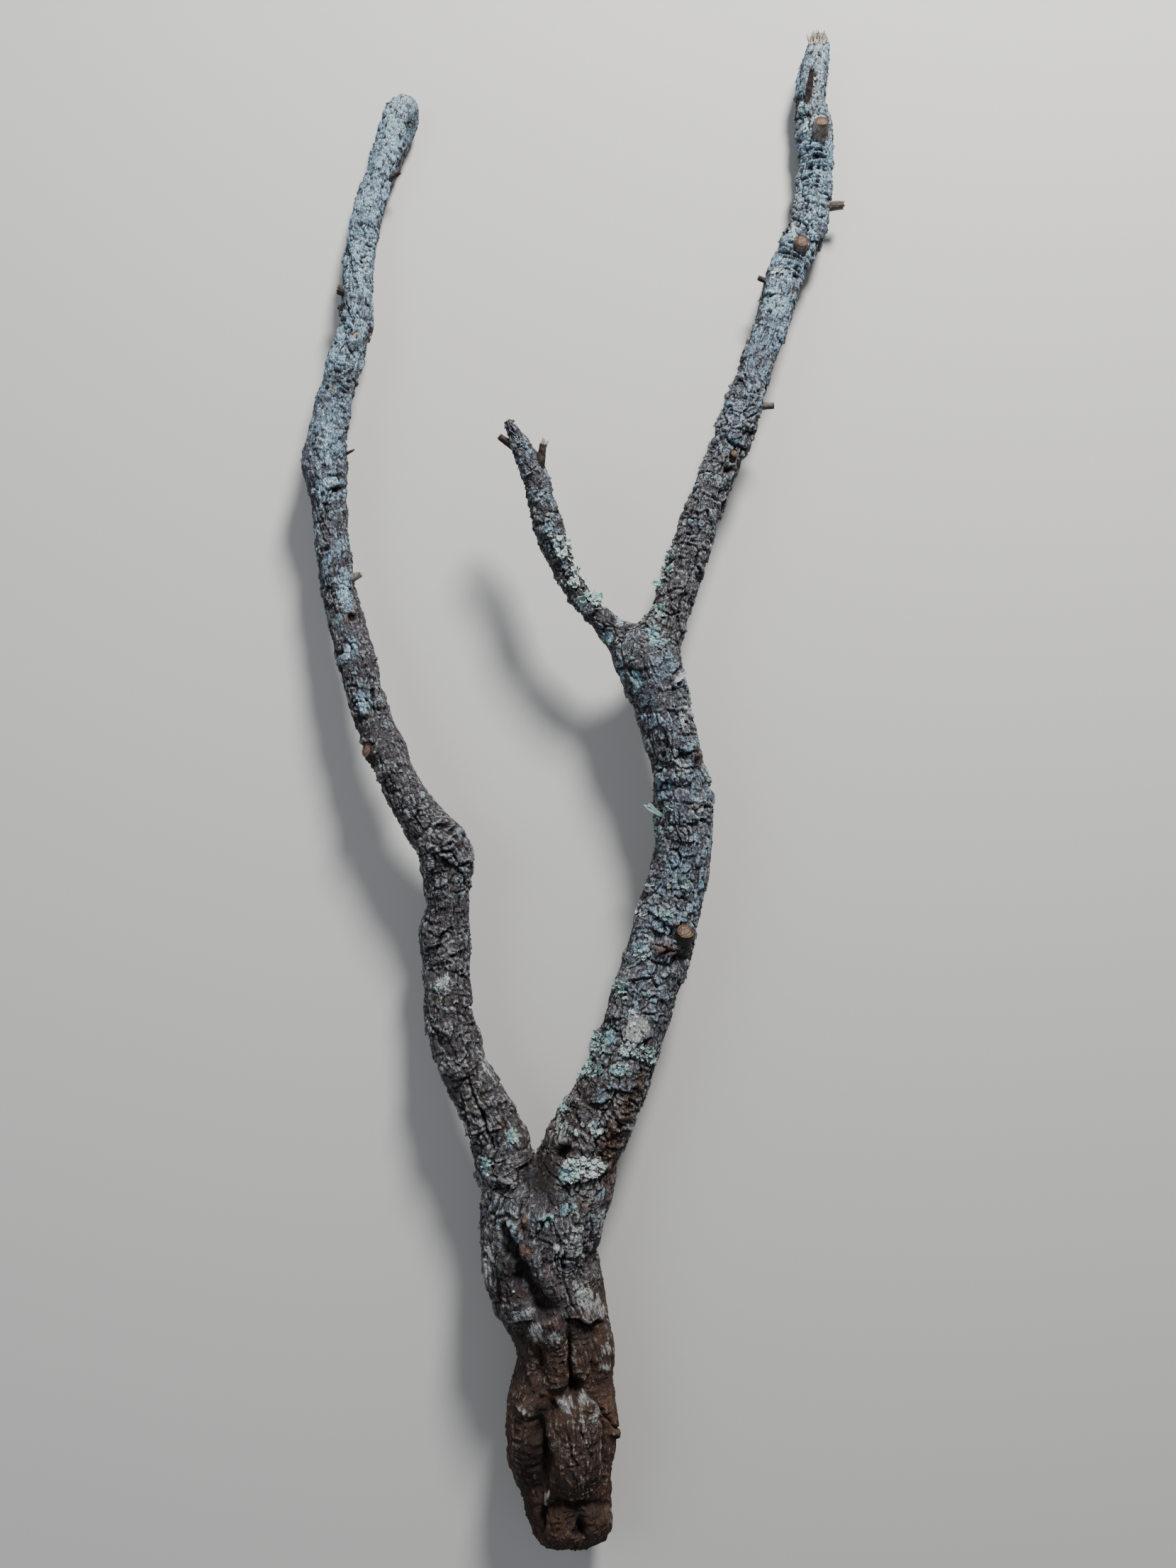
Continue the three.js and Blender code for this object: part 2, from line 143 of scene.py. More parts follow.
# Each limb's stations are x, y and z of its axis, then half its width and half its height.
LIMBS = {
    "stem": Limb(
        "stem", "stem_cork", 0.92, 270, 38.0,
        (
            Plates(17, 24.0, 1.8, 2.4, 1.1, 1.0, 0.7),
            Plates(40, 10.5, 1.1, 1.6, 0.8, 0.9, 0.5),
            Plates(92, 8.0, 0.8, 1.0, 0.55, 0.5, 0.5),
        ),
        (34.0, 1.6), 0.55, 0.45, 0.3, (0.5, 0.3, 0.35, 0.7, 0.95), (0.02, 0.04, 0.08, 0.2, 0.3),
        (1.0, 0.8, 0.75, 0.62, 0.36, 0.2),
        (
            (-11, -546, 30, 23, 22), (-12, -533, 31, 28.5, 29), (-14, -508, 32, 31.5, 31),
            (-17, -487, 34, 35, 34), (-18, -470, 36, 38.5, 37), (-19, -446, 37, 39, 37.5),
            (-18, -424, 37, 35.5, 35), (-17, -407, 37, 35, 34), (-20, -391, 37, 36, 34),
            (-24, -376, 38, 38.5, 37), (-29, -361, 39, 41.5, 38), (-34, -342, 40, 41.5, 39),
            (-34, -324, 41, 44, 39), (-32, -304, 42, 46, 37), (-30, -289, 42, 49, 31),
            (-31, -277, 43, 48, 20),
        ),
    ),
    "left_limb": Limb(
        "left_limb", "crusted_bark", 0.98, 104, 16.5,
        (
            Plates(8, 15.0, 1.5, 1.7, 0.8, 0.7, 0.5),
            Plates(18, 7.0, 1.0, 1.2, 0.6, 0.6, 0.4),
            Plates(34, 4.0, 0.7, 0.6, 0.25, 0.3, 0.2),
        ),
        (16.0, 1.4), 0.4, 0.4, 0.3, (1.1, 1.05, 0.9, 0.75, 0.8, 0.8),
        (0.15, 0.14, 0.17, 0.36, 0.62, 0.7), (0.46, 0.24, 0.16, 0.06, 0.05),
        (
            (-36, -316, 41, 28, 28), (-48, -294, 42, 23, 24), (-60, -274, 43, 20, 21),
            (-65, -255, 44, 21, 20), (-74.5, -233, 45, 18, 17.5), (-83, -217, 45, 18, 18),
            (-91, -200, 44, 18, 18), (-99, -176, 42, 19, 18), (-102, -152, 39, 17.5, 17),
            (-104, -122, 37, 18, 17), (-105.2, -105, 37, 18.3, 17.5),
            (-102.2, -89, 38, 15.6, 17), (-103.5, -76, 38.5, 17, 17.5),
            (-104, -61, 40, 19, 18.5), (-109, -43, 43, 19.5, 19), (-120, -27, 45, 16, 17),
            (-136, -2, 46, 14.5, 15), (-147, 24, 45, 14.5, 14.5), (-157, 47, 44, 13.5, 14),
            (-166, 75, 42, 14, 14), (-175, 106, 39, 14, 14), (-184, 141, 36, 13.5, 13.5),
            (-191, 181, 34, 12.5, 13), (-194, 211, 33, 14, 14), (-197, 238, 34, 17.5, 16),
            (-195, 265, 34, 15, 15), (-190, 294, 32, 12.5, 13), (-182, 326, 29, 13.5, 13),
            (-176, 357, 26, 12.5, 12.5), (-175.5, 395, 22, 11.7, 12), (-172, 431, 17, 11.2, 11.5),
            (-164.5, 461, 14, 11.3, 12), (-157, 488, 12.5, 12, 13), (-149, 511, 12.5, 13.8, 13.5),
            (-144, 525, 13.5, 12.5, 12), (-143, 533.5, 14, 8.5, 8),
        ),
    ),
    "right_limb": Limb(
        "right_limb", "grey_bark", 0.84, 164, 23.0,
        (
            Plates(11, 14.0, 1.6, 2.0, 0.8, 0.8, 0.6),
            Plates(24, 7.6, 1.0, 1.4, 0.6, 0.7, 0.5),
            Plates(47, 4.3, 0.7, 0.7, 0.3, 0.35, 0.2),
        ),
        (30.0, 1.2), 0.6, 0.3, 0.35, (1.1, 1.1, 1.0, 1.0, 1.0),
        (0.18, 0.28, 0.42, 0.4, 0.34), (0.58, 0.42, 0.26, 0.2),
        (
            (-28, -319, 42, 31, 31), (-17, -294, 43, 29, 29), (-4, -267, 44, 27, 27),
            (-1, -255, 45, 28.5, 27), (7.5, -238, 46, 26.5, 25), (21, -209, 47, 24.5, 24),
            (33, -179, 47, 23.5, 23), (42, -149, 45, 23.7, 23), (51, -124, 43, 24, 23),
            (58, -95, 42, 23, 22), (65, -70, 42, 22.5, 22), (69.5, -46, 44, 21.5, 21),
            (69, -18, 46, 22.5, 21), (66, 11, 48, 20, 20), (59, 37, 50, 20, 20),
            (52, 65, 50, 21.7, 21), (45, 83, 50, 23.5, 22), (40, 98, 49, 22.5, 20),
            (38, 108, 49, 17, 14),
        ),
    ),
    "upper_limb": Limb(
        "upper_limb", "crusted_bark", 0.86, 106, 14.5,
        (
            Plates(8, 12.0, 1.3, 1.5, 0.7, 0.7, 0.5),
            Plates(17, 6.6, 0.9, 1.1, 0.55, 0.6, 0.4),
            Plates(32, 3.8, 0.65, 0.55, 0.25, 0.3, 0.2),
        ),
        (16.0, 1.2), 0.45, 0.45, 0.3, (1.0, 1.1, 1.1, 1.05, 0.85),
        (0.2, 0.3, 0.46, 0.58, 0.66), (0.3, 0.15, 0.1),
        (
            (45, 92, 49, 20, 20), (56, 115, 48, 15.6, 16), (61, 128, 47, 14.3, 15),
            (67, 146, 46, 14.6, 14.5), (75, 171, 44, 15, 14.5), (83, 197, 42, 14.7, 14.5),
            (92, 219, 41, 14.2, 14), (102, 245, 40, 14.3, 14), (113, 274, 38, 14.5, 14),
            (122, 299, 35, 12.8, 13), (129, 322, 33, 13, 13), (137, 343, 30, 13.4, 13),
            (148, 380, 25, 14.8, 14), (158, 406, 21, 14.4, 14), (169, 431, 18, 15, 14.5),
            (174, 455, 15, 14.3, 14.5), (176, 481, 14, 13.2, 14), (176, 506, 14, 15, 14.5),
            (172.5, 528, 16, 12, 12.5), (173.5, 548, 19, 11.3, 11.5), (176, 561, 22, 11, 11),
            (177, 572, 24, 8.5, 8),
        ),
    ),
    "side_branch": Limb(
        "side_branch", "crusted_bark", 0.76, 78, 9.5,
        (
            Plates(6, 9.0, 1.1, 1.1, 0.5, 0.5, 0.4),
            Plates(13, 4.8, 0.9, 0.9, 0.5, 0.5, 0.4),
            Plates(22, 3.0, 0.6, 0.5, 0.32, 0.4, 0.2),
        ),
        (12.0, 0.9), 0.3, 0.3, 0.25, (1.0, 0.9, 0.9, 1.0, 1.0),
        (0.25, 0.2, 0.3, 0.35, 0.3), (0.2, 0.2, 0.1),
        (
            (41, 95, 48, 16, 16), (26, 105, 50, 11, 11), (12, 117, 53, 9, 9.5),
            (-1, 130, 55, 8.5, 9), (-13, 147, 58, 8.3, 8.5), (-21, 162, 61, 8.8, 8.5),
            (-27, 178, 63, 10.7, 9.5), (-31, 193, 65, 11, 9.5), (-34.5, 206, 66, 9.7, 9),
            (-37, 219, 67, 10.2, 9), (-42, 229, 68, 9, 8.5), (-48, 241, 70, 7.6, 7),
            (-54, 251, 72, 5, 5), (-57, 258, 73, 3.2, 3),
        ),
    ),
}

# What else differs between the limbs: how far their two ends bulge and how ragged they are in
# mm, the slope of the root's end, how far the bark's proud parts hang over towards the root as
# a part of their height, and how much of the bark is weathered pale
Finish = namedtuple("Finish", "bulge ragged slant drag weathered")
FINISHES = {
    "stem": Finish((3.0, 6.0), 2.0, 0.4, 0.08, 0.38),
    "left_limb": Finish((6.0, 1.0), 1.2, 0.0, 0.1, 0.52),
    "right_limb": Finish((6.0, 5.0), 0.0, 0.0, 0.14, 0.6),
    "upper_limb": Finish((4.0, 6.5), 2.0, 0.0, 0.1, 0.6),
    "side_branch": Finish((3.0, 1.5), 1.0, 0.0, 0.1, 0.5),
}

# Where limbs meet: a point in mm, how far the bark swells to fill the crotch, and the limbs
FORKS = (
    ((-34, -285, 43), 8.0, ("stem", "left_limb", "right_limb")),
    ((38, 108, 50), 10.0, ("right_limb", "upper_limb", "side_branch")),
)

# Swellings and hollows seen on each limb's upper side: the place in the photograph's pixels,
# half the width and half the length in mm, the length's turn to the left of the photograph's
# upright in degrees, the height that it adds in mm, and how square its edge is
SOFT_EDGE = 1.4
Swelling = namedtuple("Swelling", "x y across along turn rise edge", defaults=(SOFT_EDGE,))
SWELLINGS = {
    "stem": (
        # the slanting hollow of the stem, from its upper to its lower end
        (712, 1742, 5, 8, 6, -7), (722, 1768, 6, 10, 22, -8), (740, 1802, 6.5, 13, 34, -9),
        (760, 1838, 7, 12, 38, -9),
        # the left strand, the knobbly lip and the twisted strand beside the hollow
        (692, 1772, 5, 22, 10, 3), (716, 1826, 7, 14, 22, 3), (727, 1728, 3, 6, 0, 4),
        (738, 1718, 2.5, 6, 0, 3), (737, 1768, 4, 5.5, 35, 4), (775, 1806, 5.5, 18, 34, 3),
        (812, 1745, 8, 17, -5, 2.5, 2.5), (783, 1766, 4.5, 10, 5, 2, 2.5), (796, 1786, 1.2, 13, 0, -5),
        (830, 1800, 1.2, 22, 6, -3), (806, 1835, 1.2, 12, 18, -3), (845, 1772, 5, 7, 0, -3.5),
        (757, 1675, 10, 15, 0, -4), (775, 1700, 1.4, 10, -20, -3), (741, 1690, 1.4, 16, -6, -2.5),
        # dome and fluted cork columns under the ledges
        (770, 1880, 13, 10, 0, 2.4, 2.5), (748, 1920, 2.4, 20, 8, 2.4, 2.5),
        (761, 1922, 2.8, 14, 4, -3.5), (786, 1924, 7.2, 18, 0, 2.8, 3.5), (803, 1922, 2, 27, 0, -6.5),
        (822, 1916, 8, 19, 0, 2.2, 3.5), (840, 1915, 1.6, 20, 3, -3), (852, 1908, 5.5, 21, 0, 2.2, 2.5),
        (732, 1900, 5, 18, 0, -2.5),
        # pit, tongue of fibrous cork, the furrow beside it and the masses left and right
        (815, 1962, 8, 7, 0, -8), (812, 2045, 15.5, 36, -3, 6, 2.2), (805, 2047, 1, 24, 11, -1.8),
        (828, 2052, 1.1, 24, -5, -2.4), (817, 2020, 0.9, 12, 17, -1.5), (776, 1989, 3.5, 8, 0, -6),
        (765, 2052, 5.5, 30, 2, -9), (736, 2035, 10, 38, 0, 4), (751, 1985, 8, 7.5, 0, 4.5, 2.4),
        (767, 1964, 3.5, 2.5, 0, 2.5), (757, 1969, 2.5, 2, 0, 2), (863, 2000, 7, 30, 0, 3.5),
        (858, 2006, 1, 13, 30, -3.5), (848, 2045, 1.3, 22, 2, -3), (845, 2095, 8, 16, 0, 2.5),
        (771, 2115, 2.4, 5, 0, 3, 2.5),
        # lumps of the broken butt
        (752, 2130, 8, 10, 0, 3), (793, 2158, 10, 13, 0, 5, 2), (842, 2152, 11, 13, 0, 5, 2),
        (768, 2142, 2.5, 9, 0, -4.5), (818, 2164, 4, 10, 0, -7), (808, 2124, 26, 3, 0, -3.5),
        # crotch and the pit beside it
        (756, 1650, 6, 5, 0, -3), (793, 1624, 5.5, 6.5, 0, -9, 2), (727, 1650, 3, 3, 0, -3),
    ),
    "right_limb": (
        # the pit beside the crotch
        (793, 1624, 5.5, 6.5, 0, -9, 2),
        # crumbling blocks along the right edge, knots and knot holes
        (868, 1575, 5, 22, -24, 2), (893, 1510, 5, 20, -22, 2), (852, 1600, 1.4, 26, -24, -3),
        (988, 1084, 5, 6, 0, -5), (946, 1336, 12, 8, 0, 4.5, 2), (940, 1343, 1.2, 7, -60, -3),
        (962, 1352, 8, 3, 0, -3), (955, 1299, 2.6, 3, 0, 2.5), (960, 1105, 1.2, 10, 0, -1.5),
    ),
    "left_limb": (
        # the long groove, the knee, knots and knot holes
        (671, 1550, 1.5, 20, 22, -3), (688, 1602, 1.8, 17, 16, -3.5), (655, 1478, 1.3, 12, 25, -2),
        (640, 1180, 10, 9, 20, 2), (621, 1205, 0.9, 8, 42, 1.8), (645, 1223, 4, 3, 0, 1.8),
        (508, 1014, 4, 4, 0, -1.5), (497, 870, 4, 3.8, 0, -4), (478, 921, 3, 2.4, 0, -2.5),
        (478, 690, 2.5, 2.2, 0, -2.5), (459, 774, 2, 2, 0, -2), (483, 415, 2.2, 2.2, 0, -2),
        (482, 431, 1.8, 1.8, 0, -1.5), (590, 165, 3, 5, 0, -2),
    ),
    "upper_limb": (
        # knots, and the furrows beside the twigs
        (1027, 664, 3.5, 3, 0, -3), (1134, 339, 5, 5, 0, 2), (1158, 197, 5, 4, 0, -2.5),
        (1146, 118, 2.2, 9, 0, -2),
    ),
}

# Ledges on each limb, where the bark above stands proud of the bark below with a painted shadow
# under it: the place in pixels, half the width in mm, the turn from level in degrees, the rise and the
# drop in mm
Ledge = namedtuple("Ledge", "x y across turn rise drop")
LEDGES = {
    "stem": (
        (733, 1863, 9, 3, 2.5, 6), (825, 1864, 12, -2, 3, 6), (790, 1957, 8, 0, 1.5, 2.5),
        (797, 1981, 7.5, -38, -2.5, -3.5), (820, 1974, 4.5, 42, -2.5, -3.5),
        (838, 1982, 7, -45, -2, -3), (866, 2028, 5, -10, 2, 3), (706, 1652, 16, 0, 2, 2.5),
        (820, 1664, 14, 12, 3, 3.5),
    ),
    "right_limb": (
        (820, 1664, 14, 12, 3, 3.5), (868, 1438, 8, 4, 1.8, 2.2), (900, 1478, 11, 38, 1.6, 2.2),
        (842, 1555, 9, 10, 1.6, 2), (870, 1538, 10, 6, 1.2, 1.6), (880, 1596, 9, 0, 1.4, 1.8),
        (870, 1620, 8, 0, 1.4, 1.8), (985, 1135, 10, -8, 1.2, 1.6), (985, 1158, 10, 2, 1.6, 1.8),
        (975, 1058, 9, 4, 1.2, 1.8), (975, 1036, 8, 2, 1, 1.4), (900, 942, 10, 4, 1, 1.6),
        (955, 1000, 8, 0, 1, 1.4),
    ),
    "left_limb": (
        (652, 1519, 9, 14, 1.8, 2), (612, 1462, 8, 4, 1.3, 1.6), (610, 1338, 7, 10, 1.6, 2.2),
        (616, 1358, 8, 4, 1, 1.4), (626, 1212, 10, -40, 1.6, 2.2), (655, 1216, 6, 8, 1.4, 1.6),
        (530, 993, 9, -22, 1.2, 1.8), (520, 950, 7, -50, 0.8, 1.4),
    ),
    "upper_limb": (
        (1150, 258, 3, 5, 0.5, 0.7), (1158, 234, 3.5, 0, 0.7, 1.0), (1140, 214, 4, -12, 0.8, 1.2),
        (1118, 352, 9, 8, 1, 1.4),
    ),
}

# Raised rings of bark round each limb's knots and sawn twigs: the place in pixels, then the
# radius, width and height in mm
Ring = namedtuple("Ring", "x y radius width rise")
RINGS = {
    "right_limb": ((967, 1316, 5.5, 1.6, 2.2), (927, 1432, 3.6, 0.9, 0.9)),
    "left_limb": (
        (517, 1056, 6, 1.6, 1.8), (459, 773, 3.4, 1.1, 1.2), (480, 423, 4.6, 1.2, 0.9),
        (497, 871, 4, 1, 0.8),
    ),
    "upper_limb": (
        (1155, 182, 6.5, 1.6, 1.6), (1134, 339, 4.8, 1.2, 1.2), (1032, 650, 3.6, 1.1, 1),
    ),
    "side_branch": ((765, 674, 4.5, 1.2, 0.8),),
}

# Stains and growths on the bark, and painted shade in its hollows, where frost is a thicker crust:
# place in pixels, half sizes in mm, turn and strength
Stain = namedtuple("Stain", "x y across along turn strength")
STAINS = {
    "pale": (
        (757, 1882, 7, 8, 0, 0.8), (785, 1888, 7, 5, 0, 0.8), (854, 1903, 3.5, 5, 0, 0.9),
        (853, 1926, 3.5, 2.5, 0, 0.8), (840, 1992, 4, 8, -20, 0.9), (798, 1982, 7, 4, 35, 0.9),
        (824, 1970, 4, 4, -40, 0.8), (845, 2040, 2.5, 10, 0, 0.7), (790, 2040, 5, 10, 30, 0.45),
        (820, 2020, 12, 20, 0, 0.35), (771, 2114, 1.6, 4, 0, 0.8), (748, 1985, 6, 4.5, 0, 0.55),
        (693, 1780, 3, 14, -5, 0.8), (812, 1745, 8, 20, -5, 0.5), (785, 1766, 4.5, 9, 0, 0.5),
        (828, 1835, 9, 18, 10, 0.7), (740, 1852, 9, 4, 0, 0.8), (850, 1845, 4, 10, 0, 0.7),
        (848, 1725, 3, 10, 0, 0.6), (790, 1598, 8, 9, 0, 0.6), (830, 1640, 12, 7, 0, 0.6),
        (893, 1588, 6, 8, 0, 0.7), (897, 1453, 8, 11, -20, 1.5), (690, 1500, 5, 14, 30, 0.7),
        (625, 1390, 6, 14, -10, 0.7), (968, 1010, 6, 12, 0, 0.75), (960, 1080, 7, 10, 0, 0.6),
        (990, 1140, 7, 8, 0, 0.6), (1148, 120, 8, 40, 0, 0.5), (1152, 50, 8, 6, 0, 1.5),
    ),
    "mint": (
        (685, 1645, 4.5, 6, 10, 1.0), (722, 1606, 5, 8, 0, 0.7), (800, 1655, 7, 6, 0, 0.9),
        (772, 1722, 3.5, 5, -25, 0.9), (793, 1708, 4, 6, -25, 0.7), (810, 1707, 4, 6, -20, 0.5),
        (775, 1890, 5, 3, 0, 0.4), (620, 1390, 3, 7, -20, 0.7), (896, 957, 4.5, 8, 5, 0.9),
        (921, 898, 5, 8, 15, 0.9), (858, 899, 5, 5, 0, 0.9), (858, 1465, 7, 9, 0, 0.8),
        (873, 1508, 6, 5, 0, 0.8), (1132, 152, 4, 4, 0, 1.0),
    ),
    "frost": (
        # The rows near the left limb's tip are a paler crust and also painted light, paler where more
        # light falls from above
        (560, 160, 8, 18, -15, 0.4), (545, 215, 8, 14, -22, 0.5), (524, 285, 7, 14, -12, 0.3),
        (510, 375, 6, 16, -5, 0.45), (480, 500, 5, 5, 0, 0.3), (464, 608, 5, 7, 0, 0.5),
        (463, 634, 4.5, 7, 0, 0.8), (466, 687, 6, 8, 0, 0.8), (478, 765, 5, 8, 0, 0.4),
        (488, 838, 6, 12, 10, 0.7), (494, 918, 6, 10, 0, 0.7), (512, 985, 6, 9, 0, 0.5),
        (1094, 430, 7, 9, -20, 0.7), (1152, 75, 7, 16, 0, 0.4), (1122, 330, 4, 5, 0, 0.6),
        (1150, 290, 5, 8, 0, 0.4),
    ),
    # dark: painted shade in the hollows, furrows, pits and knot holes, under the ledges and a stub, and
    # darker bark in a few places
    "dark": (
        (1150, 219, 10, 9, 0, 0.45), (1150, 262, 7, 6, 0, 0.35), (1124, 362, 10, 11, 0, 0.6),
        (1166, 325, 4, 12, -20, 0.7), (1142, 142, 4, 5, 0, 0.8), (725, 1790, 12, 26, 28, 0.9),
        (770, 1850, 12, 8, 30, 0.9), (755, 2060, 10, 26, 0, 0.9), (765, 2000, 4, 22, 0, 0.8),
        (812, 1955, 10, 6, 0, 1.0), (820, 1880, 16, 8, 0, 0.7), (735, 1880, 8, 12, 0, 0.6),
        (735, 1935, 10, 14, 0, 0.5), (815, 2125, 20, 5, 0, 0.6), (817, 2158, 4, 12, 0, 1.0),
        (768, 2142, 3, 9, 0, 0.8), (730, 2125, 14, 20, 0, 0.5), (800, 2150, 34, 18, 0, 0.4),
        (793, 1624, 6, 7, 0, 0.5), (757, 1648, 10, 8, 0, 0.9), (770, 1635, 22, 16, 0, 0.3),
        (765, 1672, 15, 20, 0, 0.8), (790, 1700, 6, 10, -20, 0.5), (497, 870, 4, 4, 0, 1.0),
        (478, 921, 3, 2.4, 0, 1.0), (478, 690, 2.6, 2.2, 0, 1.0), (508, 1013, 5, 4, 0, 0.7),
        (488, 415, 3, 2.6, 0, 1.0), (488, 433, 2.6, 3, 0, 1.0), (580, 172, 6, 9, -15, 0.8),
        (503, 486, 9, 4, 0, 0.85), (476, 538, 9, 12, 0, 0.6), (517, 310, 6, 6, 0, 0.45),
        (592, 180, 4, 9, 0, 0.7), (985, 1088, 5, 5, 0, 0.7), (964, 1344, 7, 5, 0, 0.6),
        (1027, 664, 3.5, 3, 0, 0.9), (1159, 194, 5, 4.5, 0, 0.8), (525, 1075, 7, 5, 30, 0.7),
    ),
    "rust": (
        (738, 1727, 3.5, 10, 0, 0.9), (744, 1767, 5, 5, 40, 0.9), (775, 1795, 6, 10, 30, 0.4),
        (707, 1587, 3.5, 6, 0, 0.8), (727, 1651, 3, 3, 0, 1.0), (790, 1608, 4, 4, 0, 0.6),
        (868, 1590, 6, 34, -24, 0.75), (862, 1660, 5, 26, -10, 0.8), (905, 1530, 5, 18, -22, 0.5),
        (858, 2000, 7, 24, 0, 0.8), (850, 2110, 8, 14, 0, 0.6), (785, 2160, 9, 8, 0, 0.7),
        (800, 2140, 30, 16, 0, 0.45), (725, 2010, 7, 20, 0, 0.3), (990, 1070, 4, 5, 0, 0.9),
        (941, 1045, 2, 2.5, 0, 1.0), (1120, 410, 3, 4, 0, 0.5), (497, 870, 5.5, 5, 0, 0.8),
        (943, 1338, 11, 6, 0, 0.9), (955, 1299, 2.4, 2.8, 0, 1.0),
    ),
    "wood": ((504, 471, 4.2, 2.8, 0, 1.2), (470, 551, 2.6, 2.2, 0, 1.0)),
}

# Where the bark's texture differs, given as for the stains
TEXTURES = {
    "smooth": (
        (795, 1990, 48, 70, 0, 0.9), (765, 1675, 14, 18, 0, 0.8), (830, 1830, 12, 22, 10, 0.4),
        (620, 1530, 10, 36, 20, 0.7), (690, 1512, 6, 12, 30, 0.8), (565, 1080, 9, 20, 30, 0.5),
        (925, 1375, 14, 14, 0, 0.75), (897, 1453, 8, 11, -20, 1.2), (838, 1540, 14, 12, -20, 0.8),
        (600, 1195, 7, 12, 0, 0.6), (1150, 120, 10, 34, 0, 0.6), (775, 700, 8, 12, 0, 0.4),
        (800, 835, 6, 40, 35, 0.5),
    ),
    "fibre": (
        (795, 1912, 30, 24, 0, 0.6), (815, 2040, 14, 36, -4, 1.4), (845, 2095, 9, 16, 0, 1.0),
        (822, 1800, 20, 34, -8, 0.8), (700, 1780, 12, 34, -5, 0.7), (775, 1800, 8, 20, 32, 0.6),
        (965, 1010, 8, 14, 0, 1.0), (870, 1560, 14, 12, -20, 0.8),
    ),
    "wrinkle": (
        (795, 1912, 30, 24, 0, 0.2), (733, 2020, 10, 34, 0, 0.6), (640, 1170, 12, 16, -30, 1.3),
        (885, 1560, 11, 50, -24, 1.3), (990, 1140, 9, 16, 0, 0.9), (982, 1020, 9, 26, 0, 0.7),
        (1122, 362, 10, 14, 0, 1.6), (1150, 230, 10, 16, 0, 1.3), (520, 330, 9, 40, -10, 0.8),
        (480, 530, 9, 16, 0, 1.3),
    ),
    "rough": (
        (800, 2155, 34, 14, 0, 0.5), (780, 1700, 30, 22, 0, 0.25), (640, 1400, 16, 50, 0, 0.3),
        (640, 1170, 12, 16, -30, 0.4), (1150, 230, 10, 16, 0, 0.4),
    ),
}

# Leafy lichens: place in pixels, half sizes in mm, turn, how white, flat and dense, and the
# size of its lobes beside the usual one
Lichen = namedtuple("Lichen", "x y across along turn white flat dense lobe", defaults=(1.0,))
LICHENS = tuple(
    Lichen(*row) for row in (
        (922, 1247, 5.5, 3.5, 0, 0.1, 0.3, 1.0), (962, 1250, 10, 7, 0, 0.35, 0.2, 0.5),
        (905, 1284, 3.5, 5, 0, 0.7, 0.5, 1.0), (941, 1288, 7.5, 4.5, 0, 0.1, 0.2, 1.0),
        (906, 1340, 6.5, 7.5, -20, 0.35, 0.2, 1.1), (878, 1392, 6, 9, 10, 0.2, 0.2, 1.1),
        (914, 1403, 3.2, 2.5, 0, 0.3, 0.2, 1.2), (889, 1438, 6, 6, 10, 0.95, 0.9, 0.6),
        (888, 1480, 8, 4, 10, 0.9, 0.6, 1.3), (890, 1480, 8, 4.5, 0, 0.6, 0.1, 1.3),
        (912, 1488, 6, 8, 20, 0.3, 0.1, 1.1), (840, 1472, 8, 9, 20, 0.25, 0.1, 2.0),
        (834, 1507, 9, 7, 20, 0.25, 0.1, 1.9), (877, 1506, 5.5, 4.5, 0, 0.3, 0.2, 1.0),
        (798, 1561, 4, 6.5, 0, 0.0, 0.1, 1.1), (788, 1588, 4.5, 6, 0, 0.5, 0.2, 0.6),
        (828, 1590, 12, 6, 0, 0.55, 0.2, 0.5), (805, 1652, 5, 9, 10, 0.6, 0.55, 2.0, 1.3),
        (830, 1646, 11, 7, 0, 0.62, 0.5, 2.0, 1.3), (688, 1645, 4.5, 5.5, 10, 0.35, 0.7, 0.9),
        (724, 1604, 4, 6.5, 0, 0.2, 0.5, 0.9), (772, 1722, 3.5, 5, -25, 0.3, 0.5, 1.0),
        (792, 1708, 3.5, 6, -25, 0.3, 0.4, 1.0), (945, 1140, 4, 5, 0, 0.2, 0.2, 0.8),
        (925, 1175, 4, 6, 0, 0.2, 0.2, 0.8), (933, 860, 4, 4.5, 0, 0.0, 0.1, 1.2),
        (922, 861, 3.5, 3.5, 0, 0.0, 0.1, 1.2), (945, 785, 4.5, 7.5, 0, 0.05, 0.2, 1.0),
        (942, 808, 6, 7, 0, 0.3, 0.2, 0.7), (797, 774, 6.5, 9, 35, 0.6, 0.1, 2.6, 1.6),
        (817, 818, 6, 9, 35, 0.7, 0.2, 2.6, 1.6), (833, 845, 8, 6, 30, 0.35, 0.2, 3.0, 1.9),
        (776, 748, 3.5, 5, 20, 0.4, 0.2, 0.7), (1097, 381, 4, 3.6, 0, 0.8, 0.4, 1.3),
        (1119, 322, 3.8, 3, 25, 0.9, 0.4, 1.2), (1131, 152, 2.8, 2.8, 0, 1.0, 0.9, 1.4),
        (1136, 178, 2.2, 4.5, -20, 0.9, 0.6, 1.2), (1127, 275, 2.4, 1.6, 0, 0.9, 0.6, 1.2),
        (1149, 113, 3, 4.5, 0, 0.8, 0.8, 0.8), (1092, 425, 8, 8, -20, 0.2, 0.8, 0.5),
        (625, 1388, 3, 6, -20, 0.6, 0.6, 0.9),
    )
)
# Single leaves that stand out over a limb's edge: root and tip in pixels, half width and white
LEAVES = (
    (936, 1152, 912, 1135, 2.4, 0.2),
    (936, 824, 920, 821, 2.8, 0.2),
    (951, 964, 966, 949, 2.4, 1.0),
)

